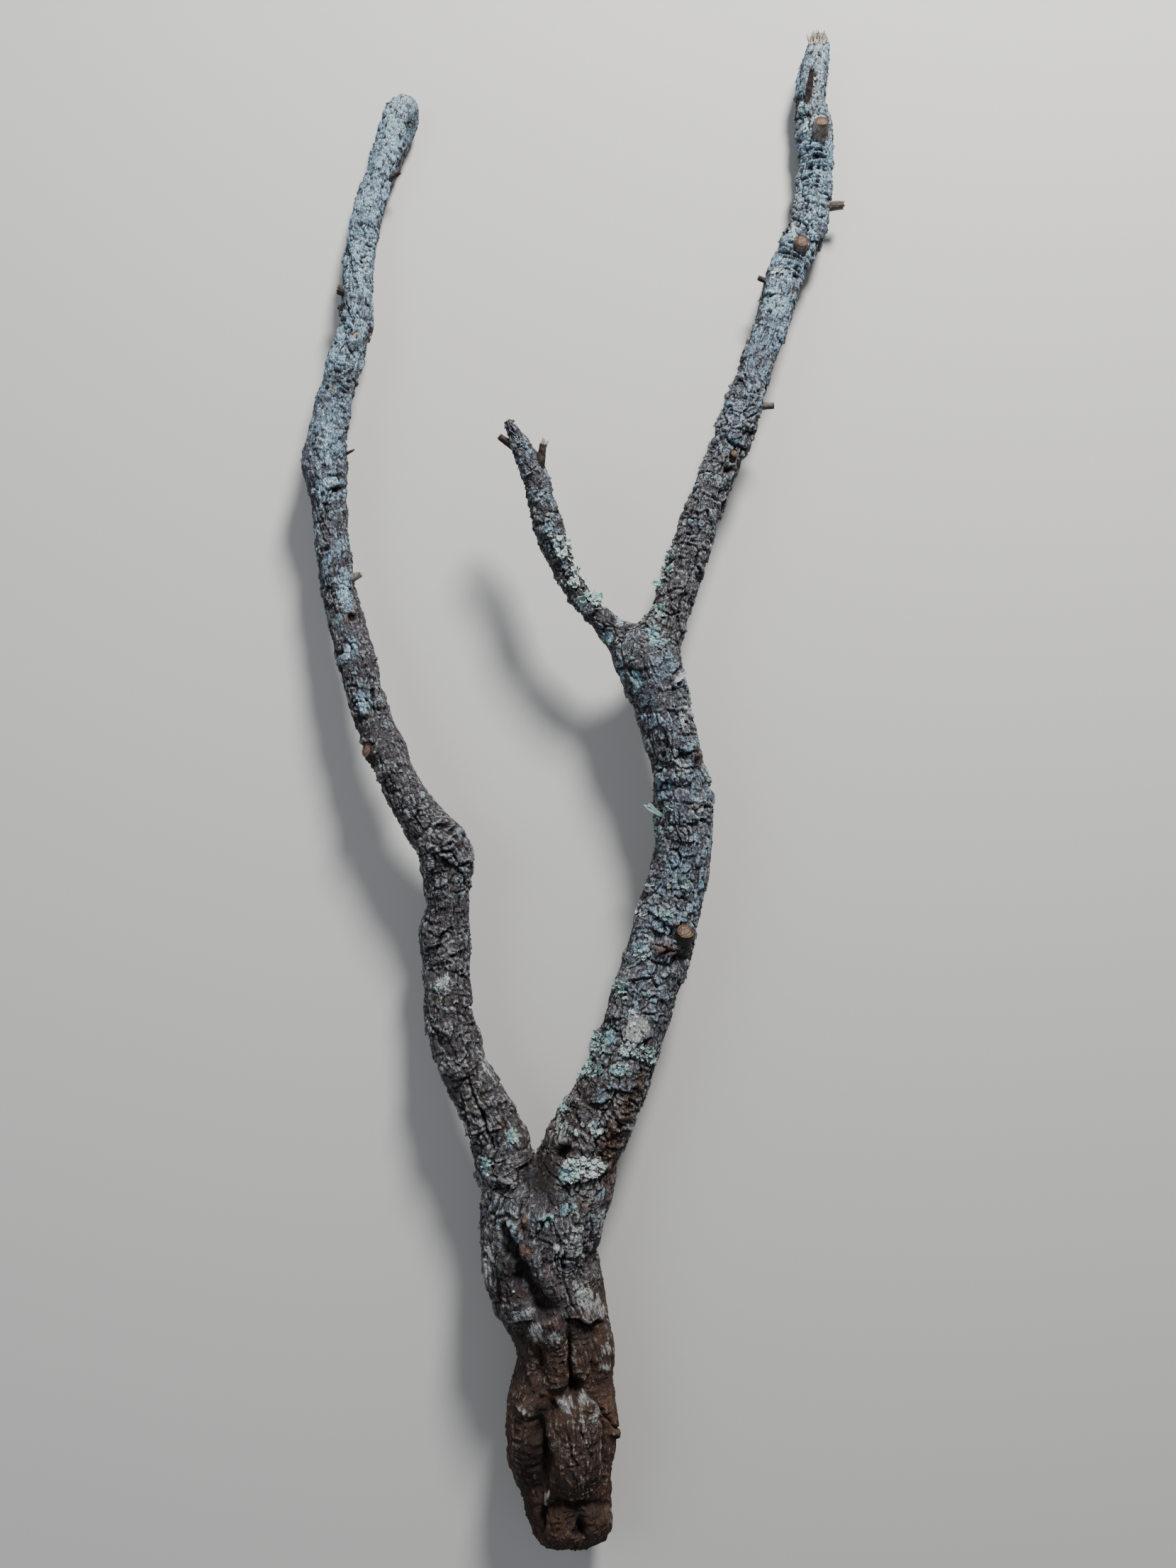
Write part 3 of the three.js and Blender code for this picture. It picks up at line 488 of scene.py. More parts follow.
# Broken and sawn twigs: root, end and their radii in mm, whether the end is sawn, and how pale
# its bark is
Stub = namedtuple("Stub", "root end root_radius end_radius sawn worn", defaults=(0.0,))
STUBS = tuple(
    Stub(*row) for row in (
        ((-150, 21, 46), (-160, 24, 57), 8.0, 5.2, True),
        ((-182, 152, 36), (-168.5, 156, 39), 6.0, 2.0, False, 0.9),
        ((-171, 91, 40), (-155, 93, 42), 3.2, 1.0, False, 0.5),
        ((-188, 245, 34), (-174.5, 250.5, 37), 2.4, 0.7, False),
        ((-155, 469, 17), (-144, 472.5, 21), 2.8, 1.5, False),
        ((-181, 375, 25), (-190.5, 377, 28), 4.6, 3.4, False),
        ((-181, 363, 25), (-189.5, 361, 28), 4.6, 3.2, False),
        ((64, -121, 46), (69, -105, 68), 12.0, 5.8, True),
        ((116, 282, 37), (139, 284, 37), 3.4, 2.4, True, 0.4),
        ((103, 241, 40), (107, 242, 56), 4, 2.8, True),
        ((146, 381, 25), (129, 386, 28), 3.2, 1.9, False),
        ((176, 447, 16), (197.5, 448, 18), 5.4, 2.9, False, 0.4),
        ((179, 494, 14), (177.5, 505.5, 33), 10, 5.6, True, 1.0),
        ((159, 405, 20), (161.2, 410, 38), 8.5, 5.2, True, 0.8),
        ((168.6, 523, 24), (170.2, 545, 36), 3.2, 1.9, False),
        ((-45, 236, 69), (-64, 249, 71), 3.4, 2.5, False),
        ((-35.5, 218, 68), (-32, 242, 76), 4, 2.6, False),
    )
)
# Frayed wood at broken ends: the end's middle and direction in mm, spread, length and count
Fray = namedtuple("Fray", "place toward spread length count")
FRAYS = (
    Fray((176.0, 572, 27), (0.0, 1.0, 0.3), 6.5, 6.6, 90),
    Fray((-56, 257, 73), (-0.3, 1.0, 0.1), 2.4, 4.0, 20),
    Fray((-32, 241, 75.5), (0.15, 1.0, 0.3), 2.0, 5.0, 14),
)


# Large numbers that mix whole numbers into values without a pattern, and the rounds of mixing
HASHES = (73856093, 19349663, 83492791, 2654435761)
HASH_ROUNDS = ((1274126177, 15), (668265263, 16))
ALL_BITS = 0xFFFFFFFF
LOW_BITS = 0xFFFFFF


def scatter(x, y, z, seed):
    """A repeatable value from 0 to 1 for arrays of whole numbers."""
    mixed = (x.astype(np.int64) * HASHES[0]) ^ (y.astype(np.int64) * HASHES[1])
    mixed = mixed ^ (z.astype(np.int64) * HASHES[2]) ^ (seed * HASHES[3])
    for factor, shift in HASH_ROUNDS:
        mixed = ((mixed & ALL_BITS) * factor) & ALL_BITS
        mixed = mixed ^ (mixed >> shift)
    return (mixed & LOW_BITS) / float(LOW_BITS)


def smooth(low, high, value):
    """0 below low, 1 above high, and an S curve between."""
    t = np.clip((value - low) / (high - low), 0.0, 1.0)
    return t * t * (3.0 - 2.0 * t)


def noise(points, size, seed):
    """Soft noise from -1 to 1 with lumps of the given size in mm."""
    scaled = points / np.asarray(size, float)
    cell = np.floor(scaled)
    part = scaled - cell
    part = part * part * (3.0 - 2.0 * part)
    cell = cell.astype(np.int64)
    total = 0.0
    for dx in (0, 1):
        wx = part[:, 0] if dx else 1.0 - part[:, 0]
        for dy in (0, 1):
            wy = part[:, 1] if dy else 1.0 - part[:, 1]
            for dz in (0, 1):
                wz = part[:, 2] if dz else 1.0 - part[:, 2]
                corner = scatter(cell[:, 0] + dx, cell[:, 1] + dy, cell[:, 2] + dz, seed)
                total = total + corner * wx * wy * wz
    return total * 2.0 - 1.0


def layered(points, size, seed):
    """Noise with noise of half its size and half its height added."""
    size = np.asarray(size, float)
    finer = 0.5 * noise(points, size / 2.0, seed + 7)
    return (noise(points, size, seed) + finer) / 1.6


def waves(points, layers, seed, start=0.0):
    """Soft noises added to a start: each has a height, a size in mm and its own seed."""
    total = start
    for height, size, own in layers:
        total = total + height * noise(points, size, seed + own)
    return total


def ridges(points, size, seed):
    """Sharp ridges about 1 high with lower ground between them."""
    return 1.0 - RIDGE_SLOPE * np.abs(noise(points, size, seed))


def cells(theta, arc, radius, plates, seed):
    """Blocky cells round a limb: the distance to the crack in mm, the cell's own value, the
    offsets of the cell's middle as parts of its size, and how open the crack is."""
    wide = 2.0 * math.pi * radius / plates.around
    squeeze = (wide / plates.length) ** SQUARENESS
    u = theta / (2.0 * math.pi) * plates.around
    v = arc / plates.length
    row0 = np.floor(v).astype(np.int64)
    near = np.full(theta.shape, 1e9)
    second = np.full(theta.shape, 1e9)
    best = np.zeros((4,) + theta.shape)
    other = np.zeros((4,) + theta.shape)
    for dv in (-1, 0, 1):
        row = row0 + dv
        offset = 0.5 * (row & 1)
        column0 = np.floor(u - offset).astype(np.int64)
        for du in (-1, 0, 1):
            column = column0 + du
            wrapped = np.mod(column, plates.around)
            across = scatter(wrapped, row, row * 0 + 1, seed)
            along = scatter(wrapped, row, row * 0 + 2, seed)
            dx = (column + offset + 0.5 + CELL_JITTER * (across - 0.5) - u) * wide
            dy = (row + 0.5 + CELL_JITTER * (along - 0.5) - v) * plates.length * squeeze
            blocky = np.maximum(np.abs(dx), np.abs(dy))
            far = ROUND * (dx * dx + dy * dy) + BLOCKY * blocky * blocky
            own = scatter(wrapped, row, row * 0 + 3, seed)
            here = np.stack((dx, dy, own, far))
            closer = far < near
            runner = (far < second) & ~closer
            other = np.where(closer, best, np.where(runner, here, other))
            second = np.where(closer, near, np.where(runner, far, second))
            best = np.where(closer, here, best)
            near = np.where(closer, far, near)
    apart = np.hypot(best[0] - other[0], best[1] - other[1]) + 1e-6
    edge = 0.5 * (other[3] - best[3]) / apart
    strength = smooth(*CRACKED, np.mod((best[2] + other[2]) * SHUFFLES[0], 1.0))
    return edge, best[2], best[0] / wide, best[1] / (plates.length * squeeze), strength


def through(stations, t):
    """Points of the smooth curve through the stations, where t counts stations."""
    ends = (2 * stations[:1] - stations[1:2], stations, 2 * stations[-1:] - stations[-2:-1])
    padded = np.vstack(ends)
    i = np.clip(np.floor(t).astype(int), 0, len(stations) - 2)
    f = (t - i)[:, None]
    p0, p1, p2, p3 = (padded[i + k] for k in range(4))
    start = (p2 - p0) * 0.5
    end = (p3 - p1) * 0.5
    cubic = (2 * p1 - 2 * p2 + start + end) * f**3
    return cubic + (3 * p2 - 3 * p1 - 2 * start - end) * f**2 + start * f + p1


def unit(vectors):
    return vectors / np.linalg.norm(vectors, axis=-1, keepdims=True)


class Axis:
    """The middle line of a limb, walked in even steps, with its cross-section's directions."""

    def __init__(self, limb):
        stations = np.array(limb.stations, float)
        fine = np.linspace(0, len(stations) - 1, 3000)
        line = through(stations, fine)[:, :3]
        walked = np.concatenate(([0.0], np.cumsum(np.linalg.norm(np.diff(line, axis=0), axis=1))))
        count = int(round(walked[-1] / limb.row)) + 1
        self.arc = np.linspace(0.0, walked[-1], count)
        t = np.interp(self.arc, walked, fine)
        sampled = through(stations, t)
        self.centre = sampled[:, :3]
        self.half = sampled[:, 3:]
        self.along = unit(np.gradient(self.centre, axis=0))
        self.across = unit(np.cross(self.along, (0.0, 0.0, 1.0)))
        self.above = np.cross(self.across, self.along)


def in_photo(points):
    """Where points of the limbs' own frame, in mm, are in the photograph, in pixels."""
    tilt = math.radians(CAMERA_TILT)
    offset = points - CAMERA_AT
    depth = offset @ np.array((0.0, math.sin(tilt), -math.cos(tilt)))
    upward = offset @ np.array((0.0, math.cos(tilt), math.sin(tilt)))
    x = FRAME_WIDTH / 2 + FOCAL_PIXELS * offset[:, 0] / depth
    y = FRAME_HEIGHT / 2 - FOCAL_PIXELS * upward / depth
    return x, y


def pushed_about(seen, points):
    """Places in pixels moved by soft noise, so that the marks there have ragged outlines."""
    return waves(points, SWAY_RIGHT, SEED, seen[0]), waves(points, SWAY_DOWN, SEED, seen[1])


def around_mark(seen, mark):
    """Distances in mm from a mark's middle, across and along its own direction."""
    dx = (seen[0] - mark.x) * PIXEL_MM
    dy = (mark.y - seen[1]) * PIXEL_MM
    turn = math.radians(getattr(mark, "turn", 0.0))
    across = dx * math.cos(turn) + dy * math.sin(turn)
    along = dy * math.cos(turn) - dx * math.sin(turn)
    return across, along


def swellings_on(limb, seen):
    """Height that the limb's swellings and hollows add."""
    height = np.zeros(seen[0].shape)
    for row in SWELLINGS.get(limb.node, ()):
        mark = Swelling(*row)
        across, along = around_mark(seen, mark)
        reach = (across / mark.across) ** 2 + (along / mark.along) ** 2
        height += mark.rise * np.exp(-(reach**mark.edge))
    return height


def mark_relief(limb, seen, facing):
    """Height that swellings, ledges and rings add to the upper side, and the painted shadow under the
    ledges.
    """
    height = swellings_on(limb, seen)
    dark = np.zeros(seen[0].shape)
    for row in LEDGES.get(limb.node, ()):
        mark = Ledge(*row)
        across, along = around_mark(seen, mark)
        window = np.exp(-((across / mark.across) ** 4))
        above = mark.rise * np.exp(-np.maximum(along, 0.0) / LEDGE_ABOVE)
        below = -mark.drop * np.exp(np.minimum(along, 0.0) / LEDGE_BELOW)
        step = smooth(-0.7, 0.7, along)
        height += window * (below + (above - below) * step)
        # The painted shadow just under the ledge's lip
        shade = np.exp(-(((along + LEDGE_SHADE) / LEDGE_SHADE) ** 2))
        dark += window * shade * min(1.0, abs(mark.drop) / LEDGE_FULL_SHADE)
    for row in RINGS.get(limb.node, ()):
        mark = Ring(*row)
        away = np.hypot(*around_mark(seen, mark))
        height += mark.rise * np.exp(-(((away - mark.radius) / mark.width) ** 2))
    return height * facing, np.clip(dark, 0.0, 1.0) * facing


def fork_swelling(limb, points):
    """How far the bark stands out where another limb leaves, so that the crotch is filled."""
    extra = np.zeros(len(points))
    for place, reach, names in FORKS:
        if limb.node not in names:
            continue
        near = np.linalg.norm(points - np.array(place, float), axis=1) < FORK_REACH
        for name in names:
            if name == limb.node:
                continue
            axis = AXES[name]
            close = np.linalg.norm(axis.centre - np.array(place, float), axis=1) < FORK_AXIS
            centres = axis.centre[close][::5]
            radii = axis.half[close][::5].mean(axis=1)
            gaps = np.linalg.norm(points[near][:, None] - centres[None], axis=2) - radii
            gap = np.clip(gaps.min(axis=1) / reach, 0.0, 1.0)
            extra[near] += reach / 4.0 * (1.0 - gap) ** 2
    return extra


def terraced(height, step):
    """Heights pressed into layers with steep edges."""
    part = height / step
    whole = np.floor(part)
    return step * (whole + smooth(*LAYER_EDGE, part - whole))


def plate_relief(limb, skin, rough, texture, seed):
    """Height in mm of the bark's plates, the painted shade of their open cracks, and their tones."""
    sway = waves(skin.unrolled, PLATE_SWAY, seed)
    slip = waves(skin.unrolled, PLATE_SLIP, seed)
    height = np.zeros(skin.theta.shape)
    crack = np.zeros(skin.theta.shape)
    tone = np.zeros(skin.theta.shape)
    for order, plates in enumerate(limb.plates):
        bent = skin.theta + sway / limb.radius
        edge, own, dx, dy, strength = cells(
            bent, skin.arc + slip, limb.radius, plates, seed + 11 * order
        )
        open_crack = (1.0 - smooth(0.0, plates.width, edge)) * strength
        level = rough if order < 2 else np.maximum(rough, FIBRE_CHIPS * texture["fibre"])
        height -= plates.depth * open_crack * np.minimum(level, 1.0)
        lean = np.mod(own * SHUFFLES[1], 1.0) * 2.0 - 1.0
        tip = np.mod(own * SHUFFLES[2], 1.0) * 2.0 - 1.0
        blocks = plates.uneven * (2.0 * own - 1.0) + plates.tilt * (lean * dx + tip * dy)
        height += level * (PLATE_HEIGHT * blocks + plates.shingle * dy)
        crack = np.maximum(crack, open_crack * CRACK_SHADE[order] * np.minimum(level, 1.0))
        tone += own * PLATE_TONE[order]
    return height, crack, tone


def bark_relief(limb, skin, rough, texture):
    """Height of the bark's plates, fibres and wrinkles in mm, the painted shade of its cracks, and its
    tones.
    """
    unrolled = skin.unrolled
    seed = SEED + 100 * list(LIMBS).index(limb.node)
    calm = np.clip(texture["smooth"], 0.0, 1.0)
    patchy = waves(unrolled, ROUGHER, seed, 0.75)
    rough = rough * np.clip(patchy + 0.8 * texture["rough"] - 0.75 * calm, 0.12, 1.7)
    height, crack, tone = plate_relief(limb, skin, rough, texture, seed)
    patch = smooth(-0.25, 0.35, noise(unrolled, PATCH_MM, seed + 41))
    fibre = sum(part * ridges(unrolled, size, seed + own) for part, size, own in FIBRES)
    height += limb.fibre * fibre * (0.4 + 0.6 * patch + texture["fibre"])
    wrinkle = ridges(unrolled, WRINKLE_MM, seed + 60)
    height += limb.wrinkle * wrinkle * (1.0 - 0.75 * patch + 3.0 * texture["wrinkle"])
    height += waves(unrolled, LUMPS, seed) * np.clip(rough, 0.35, 1.2) * (1.0 - 0.6 * calm)
    height = height + LAYERED * (terraced(height, LAYER) - height)
    height += limb.grain * layered(unrolled, GRAIN_MM, seed + 70)
    swell = limb.swell[1] * layered(unrolled, limb.swell[0], seed + 5)
    return height, swell, crack, tone


def blurred(grid, reach):
    """A grid of values averaged over its neighbours, closed round the columns."""
    for axis in (0, 1):
        total = np.zeros(grid.shape)
        for step in range(-reach, reach + 1):
            if axis:
                total += np.roll(grid, step, axis=1)
            else:
                rows = np.clip(np.arange(len(grid)) + step, 0, len(grid) - 1)
                total += grid[rows]
        grid = total / (2 * reach + 1)
    return grid


def mark_masks(marks, seen, facing):
    """How strongly each kind of mark covers each point, from 0 to 1.5."""
    masks = {}
    for kind, rows in marks.items():
        mask = np.zeros(facing.shape)
        for row in rows:
            mark = Stain(*row)
            across, along = around_mark(seen, mark)
            reach = (across / mark.across) ** 2 + (along / mark.along) ** 2
            mask += mark.strength * np.exp(-(reach**SOFT_EDGE)) * facing
        masks[kind] = np.clip(mask, 0.0, 1.5)
    return masks


def end_rows(radius, step, bulge):
    """Shrink factors and offsets of the rows that close a limb's end, outermost last."""
    count = max(4, int(radius / step))
    turn = np.linspace(0.0, math.pi / 2, count + 2)[1:-1]
    return np.cos(turn) ** 0.7, bulge * np.sin(turn)


# A limb's smooth skin, a row of points after another: the number of rows, then for each point
# its angle, its way along the axis, its row of the axis, how far an end shrinks and moves it,
# its outward direction, its place, and its place on the bark as if it were a straight round
Skin = namedtuple("Skin", "rows theta arc row shrink out outward base unrolled")


def smooth_skin(limb):
    """The limb's skin without its bark, closed by shrinking rows at both ends."""
    axis = AXES[limb.node]
    last = len(axis.arc) - 1
    root_bulge, end_bulge = FINISHES[limb.node].bulge
    shrink0, out0 = end_rows(axis.half[0].mean(), limb.row * 1.2, root_bulge)
    shrink1, out1 = end_rows(axis.half[-1].mean(), limb.row, end_bulge)
    rows = np.concatenate((np.zeros(len(out0), int), np.arange(last + 1), np.full(len(out1), last)))
    shrink = np.concatenate((shrink0[::-1], np.ones(last + 1), shrink1))
    out = np.concatenate((-out0[::-1], np.zeros(last + 1), out1))
    angles = np.linspace(0.0, 2.0 * math.pi, limb.columns, endpoint=False)
    angles = angles + TOP_DENSITY * np.cos(angles)
    theta = np.tile(angles, len(rows))
    row = np.repeat(rows, limb.columns)
    shrink = np.repeat(shrink, limb.columns)
    out = np.repeat(out, limb.columns)
    arc = axis.arc[row] + out
    half = axis.half[row]
    flat = np.stack((half[:, 0] * np.cos(theta), half[:, 1] * np.sin(theta)), axis=1)
    reach = axis.across[row] * flat[:, :1] + axis.above[row] * flat[:, 1:]
    base = axis.centre[row] + axis.along[row] * out[:, None] + reach * shrink[:, None]
    unrolled = np.stack((
        limb.radius * np.cos(theta) * shrink,
        limb.radius * np.sin(theta) * shrink,
        arc,
    ), axis=1)
    return Skin(len(rows), theta, arc, row, shrink, out, unit(reach), base, unrolled)


def spread(values, part):
    """Evenly spaced values from a limb's root to its end, read at parts of its length."""
    return np.interp(part, np.linspace(0, 1, len(values)), values)


def shaped(limb, skin, height, swell, marked):
    """The skin's points in mm once the bark stands on it, and its ends are slanted and torn."""
    axis = AXES[limb.node]
    finish = FINISHES[limb.node]
    along = axis.along[skin.row]
    closing = np.clip(skin.shrink, 0.0, 1.0)
    total = (height + swell + marked) * closing + fork_swelling(limb, skin.base)
    points = skin.base + skin.outward * total[:, None]
    lean = np.clip(height, -2.0, 1.5) * finish.drag
    near_root = 1.0 - smooth(0.0, SLANT_REACH, skin.arc)
    slant = finish.slant * (skin.base[:, 2] - axis.centre[0, 2]) * near_root
    points += along * (slant - lean)[:, None]
    ragged = layered(skin.unrolled, TORN_MM, SEED + 70) * finish.ragged
    points -= along * (0.5 * marked * (1.0 - smooth(0.0, BUTT_REACH, skin.arc)))[:, None]
    points += along * (ragged * (skin.shrink < 0.999) * np.sign(skin.out))[:, None]
    return points


def limb_surface(limb, relief):
    """Vertices in mm, faces and attributes of one limb's whole skin."""
    skin = smooth_skin(limb)
    facing = smooth(0.0, FACING_FULL, skin.outward[:, 2])
    seen = pushed_about(in_photo(skin.base), skin.base)
    part = np.clip(skin.arc / AXES[limb.node].arc[-1], 0.0, 1.0)
    texture = mark_masks(TEXTURES, seen, facing)
    height, swell, crack, tone = bark_relief(limb, skin, spread(limb.rough, part), texture)
    marked, dark = mark_relief(limb, seen, facing)
    height = height * relief
    height -= np.percentile(height, PROUD)
    grid = (height + 0.6 * marked).reshape(skin.rows, limb.columns)
    # tip is how far the bark stands above its neighbours, low how far it sinks below them, which
    # becomes painted shade in the hollows
    tip = (grid - blurred(grid, TIPS[0])).ravel() / TIPS[1]
    low = (blurred(grid, HOLLOWS[0]) - grid).ravel() / HOLLOWS[1]
    points = shaped(limb, skin, height, swell, marked)
    upward = smooth(*UPWARD, skin.outward[:, 2])
    crust = spread(limb.crust, part) * (CRUST_BELOW + CRUST_MORE_ABOVE * upward)
    stains = mark_masks(STAINS, seen, facing)
    crust = crust + stains.pop("frost")
    # crack holds the painted shade of the open cracks and the painted shadow under the ledges; depth
    # holds the painted shade of the hollows
    attributes = {
        "brown": spread(limb.brown, part),
        "crack": np.clip(crack + 0.7 * dark, 0.0, 1.0),
        "tone": tone,
        "tip": np.clip(tip, -1.0, 1.0),
        "depth": np.clip(low, 0.0, 1.0),
        "crust": crust,
        **stains,
    }
    return closed_skin(limb, skin, points, attributes)


def closed_skin(limb, skin, points, attributes):
    """The skin with a point in the middle of each end, and a fan of faces round it."""
    count = len(points)
    first = points[: limb.columns].mean(axis=0)
    end = points[-limb.columns:].mean(axis=0)
    points = np.vstack((points, first, end))
    middle = (0, 0, 1)
    unrolled = skin.unrolled
    unrolled = np.vstack((unrolled, unrolled[0] * middle, unrolled[-1] * middle))
    attributes = {
        name: np.concatenate((values, values[:1], values[-1:])) for name, values in attributes.items()
    }
    fans = []
    top = count - limb.columns
    for k in range(limb.columns):
        following = (k + 1) % limb.columns
        fans.append((count, k, following))
        fans.append((count + 1, top + following, top + k))
    return points, grid_faces(skin.rows, limb.columns) + fans, attributes, unrolled


def grid_faces(rows, columns):
    """Quads of a closed tube whose vertices go round, then along."""
    index = np.arange(rows * columns).reshape(rows, columns)
    following = np.roll(index, -1, axis=1)
    quads = np.stack((index[:-1], index[1:], following[1:], following[:-1]), axis=-1)
    return quads.reshape(-1, 4).tolist()


AXES = {name: Axis(limb) for name, limb in LIMBS.items()}


HAIR = 2e-5  # m by which every point stays inside the solids' box


def inside_box(points):
    """Points in metres in the row frame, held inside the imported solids' box."""
    low = np.array(CAD_BOX[0]) + HAIR
    high = np.array(CAD_BOX[1]) - HAIR
    low[2] = 0.0
    return np.clip((points + SHIFT) * MM, low, high)


def new_piece(name, points, faces, materials):
    """A mesh object in the row frame from points in the limbs' own frame."""
    old = bpy.data.objects.get(name)
    if old is not None:
        bpy.data.objects.remove(old)
    mesh = bpy.data.meshes.new(name)
    mesh.from_pydata(inside_box(points).tolist(), [], faces)
    for material in materials:
        mesh.materials.append(material)
    mesh.polygons.foreach_set("use_smooth", [True] * len(mesh.polygons))
    mesh.update()
    piece = bpy.data.objects.new(name, mesh)
    bpy.context.scene.collection.objects.link(piece)
    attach(piece, "root")
    return piece


def add_values(mesh, name, values):
    layer = mesh.attributes.new(name, "FLOAT", "POINT")
    layer.data.foreach_set("value", np.asarray(values, np.float32))


def add_vectors(mesh, name, values):
    layer = mesh.attributes.new(name, "FLOAT_VECTOR", "POINT")
    layer.data.foreach_set("vector", np.asarray(values, np.float32).ravel())


def build_limb(name, context):
    """One limb's bark as a piece, which replaces the limb's solid."""
    limb = LIMBS[name]
    shape = context.scene.branch_shape
    points, faces, attributes, unrolled = limb_surface(limb, shape.relief)
    material = bark_material(name, context.scene.branch_colours)
    piece = new_piece(name + "_bark", points, faces, [material])
    for key, values in attributes.items():
        add_values(piece.data, key, values)
    add_vectors(piece.data, "grain", unrolled)
    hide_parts(limb.node)
    return piece


SPECULAR = 0.25


class Nodes:
    """A short way to write a material's nodes."""

    def __init__(self, name):
        self.material = bpy.data.materials.get(name) or bpy.data.materials.new(name)
        self.material.use_nodes = True
        self.tree = self.material.node_tree
        self.tree.nodes.clear()

    def feed(self, socket, value):
        """Links a socket's value, or sets a constant."""
        if isinstance(value, bpy.types.NodeSocket):
            self.tree.links.new(value, socket)
        else:
            socket.default_value = value

    def add(self, kind, settings=None, **sockets):
        """A node with its settings, and its sockets fed by name."""
        made = self.tree.nodes.new(kind)
        for key, value in (settings or {}).items():
            setattr(made, key, value)
        for key, value in sockets.items():
            self.feed(made.inputs[key.replace("_", " ")], value)
        return made

    def worked_out(self, kind, settings, *values):
        """The first output of a node whose sockets are fed in their order."""
        made = self.add(kind, settings)
        for socket, value in zip(made.inputs, values):
            self.feed(socket, value)
        return made.outputs[0]

    def math(self, operation, *values, clamp=False):
        settings = {"operation": operation, "use_clamp": clamp}
        return self.worked_out("ShaderNodeMath", settings, *values)

    def stretch(self, vector, scale):
        return self.worked_out("ShaderNodeVectorMath", {"operation": "MULTIPLY"}, vector, scale)

    def attribute(self, name):
        return self.add("ShaderNodeAttribute", {"attribute_name": name})

    def value(self, name):
        return self.attribute(name).outputs["Fac"]

    def place(self):
        """The object's own coordinates, in m."""
        return self.add("ShaderNodeTexCoord").outputs["Object"]

    def threshold(self, value, low, high):
        """0 below low, 1 above high, and an S curve between."""
        made = self.add("ShaderNodeMapRange", {"interpolation_type": "SMOOTHSTEP"},
                        Value=value, From_Min=low, From_Max=high)
        return made.outputs["Result"]

    def mix(self, factor, a, b):
        made = self.add("ShaderNodeMix", {"data_type": "RGBA"}, Factor=factor, A=a, B=b)
        return made.outputs["Result"]

    def noise(self, vector, size, detail, roughness):
        made = self.add("ShaderNodeTexNoise", Vector=vector, Scale=1.0 / size, Detail=detail,
                        Roughness=roughness)
        return made.outputs["Fac"]

    def edges(self, vector, size):
        """Distance to the edges of cells of the given size."""
        made = self.add("ShaderNodeTexVoronoi", {"feature": "DISTANCE_TO_EDGE"},
                        Vector=vector, Scale=1.0 / size)
        return made.outputs["Distance"]

    def warped(self, vector, size, reach):
        """The vector pushed about by soft noise of a size, up to a reach, both in its units."""
        push = self.add("ShaderNodeTexNoise", Vector=vector, Scale=1.0 / size, Detail=2.0)
        return self.worked_out("ShaderNodeVectorMath", {"operation": "MULTIPLY_ADD"},
                               push.outputs["Color"], (reach, reach, reach), vector)

    def tone_of(self, colour):
        """A value from a colour."""
        return self.add("ShaderNodeSeparateColor", Color=colour).outputs["Red"]

    def centred(self, value):
        return self.math("SUBTRACT", value, 0.5)

    def opposite(self, value, clamp=False):
        return self.math("SUBTRACT", 1.0, value, clamp=clamp)

    def total(self, *parts):
        """The sum of sockets or numbers, each with its weight."""
        result = None
        for value, weight in parts:
            weighted = self.math("MULTIPLY", value, weight)
            result = weighted if result is None else self.math("ADD", result, weighted)
        return result

    def laid_over(self, below, colour, mask, most):
        """A colour over another one, as strong as the mask, and never stronger than the most."""
        return self.mix(self.math("MULTIPLY", mask, most), below, colour)

    def finish(self, colour, roughness, bumps):
        """The whole material. The bumps are height sockets and depths in m, the coarsest first."""
        shader = self.add("ShaderNodeBsdfPrincipled", Base_Color=colour, Roughness=roughness,
                          Specular_IOR_Level=SPECULAR)
        normal = None
        for height, depth in bumps:
            bump = self.add("ShaderNodeBump", Distance=depth, Height=height)
            if normal is not None:
                self.feed(bump.inputs["Normal"], normal)
            normal = bump.outputs["Normal"]
        if normal is not None:
            self.feed(shader.inputs["Normal"], normal)
        self.add("ShaderNodeOutputMaterial", Surface=shader.outputs["BSDF"])
        return self.material


# Sizes in mm of the bark's mottling, and how much noise there is in it
FINE = (1.0, 3.0, 0.6)
SMALL = (2.8, 4.0, 0.6)
MIDDLE = (9.0, 4.0, 0.6)
BROAD = (30.0, 3.0, 0.5)
FIBRE = (1.2, 3.0, 0.6)
SPOTS = (11.0, 2.0, 0.5)
LAYERS = (1.6, 2.0, 0.5)
FLAKE = 1.8
FLAKE_WARP = (3.0, 1.6)
LONG_FIBRE = (1.0, 1.0, 0.15)  # how much of each direction counts where a pattern is long
LONG_FLAKE = (1.0, 1.0, 0.62)
FLAT_LAYER = (0.3, 0.3, 1.0)
# The small pieces' finest mottling, with its size in m
SPECKS = (0.0011, 3.0, 0.6)
# How strong each covering is at most, where it covers the bark fully
MOST = {
    "dust": 0.78, "worn": 0.7, "thick": 0.7, "crust_gaps_and_shade": 0.7, "speckle": 0.3, "crust": 0.85,
    "rust": 0.85, "pale": 0.85, "mint": 0.9, "wood": 0.9, "spots": 0.7,
    # The last four are darkenings: painted shade in cracks, hollows, pits and knot holes and under
    # ledges, some darker bark, and dark seams between the flakes
    "dark": 0.8, "seams": 0.3, "gaps": 0.7, "depth": 0.7,
}


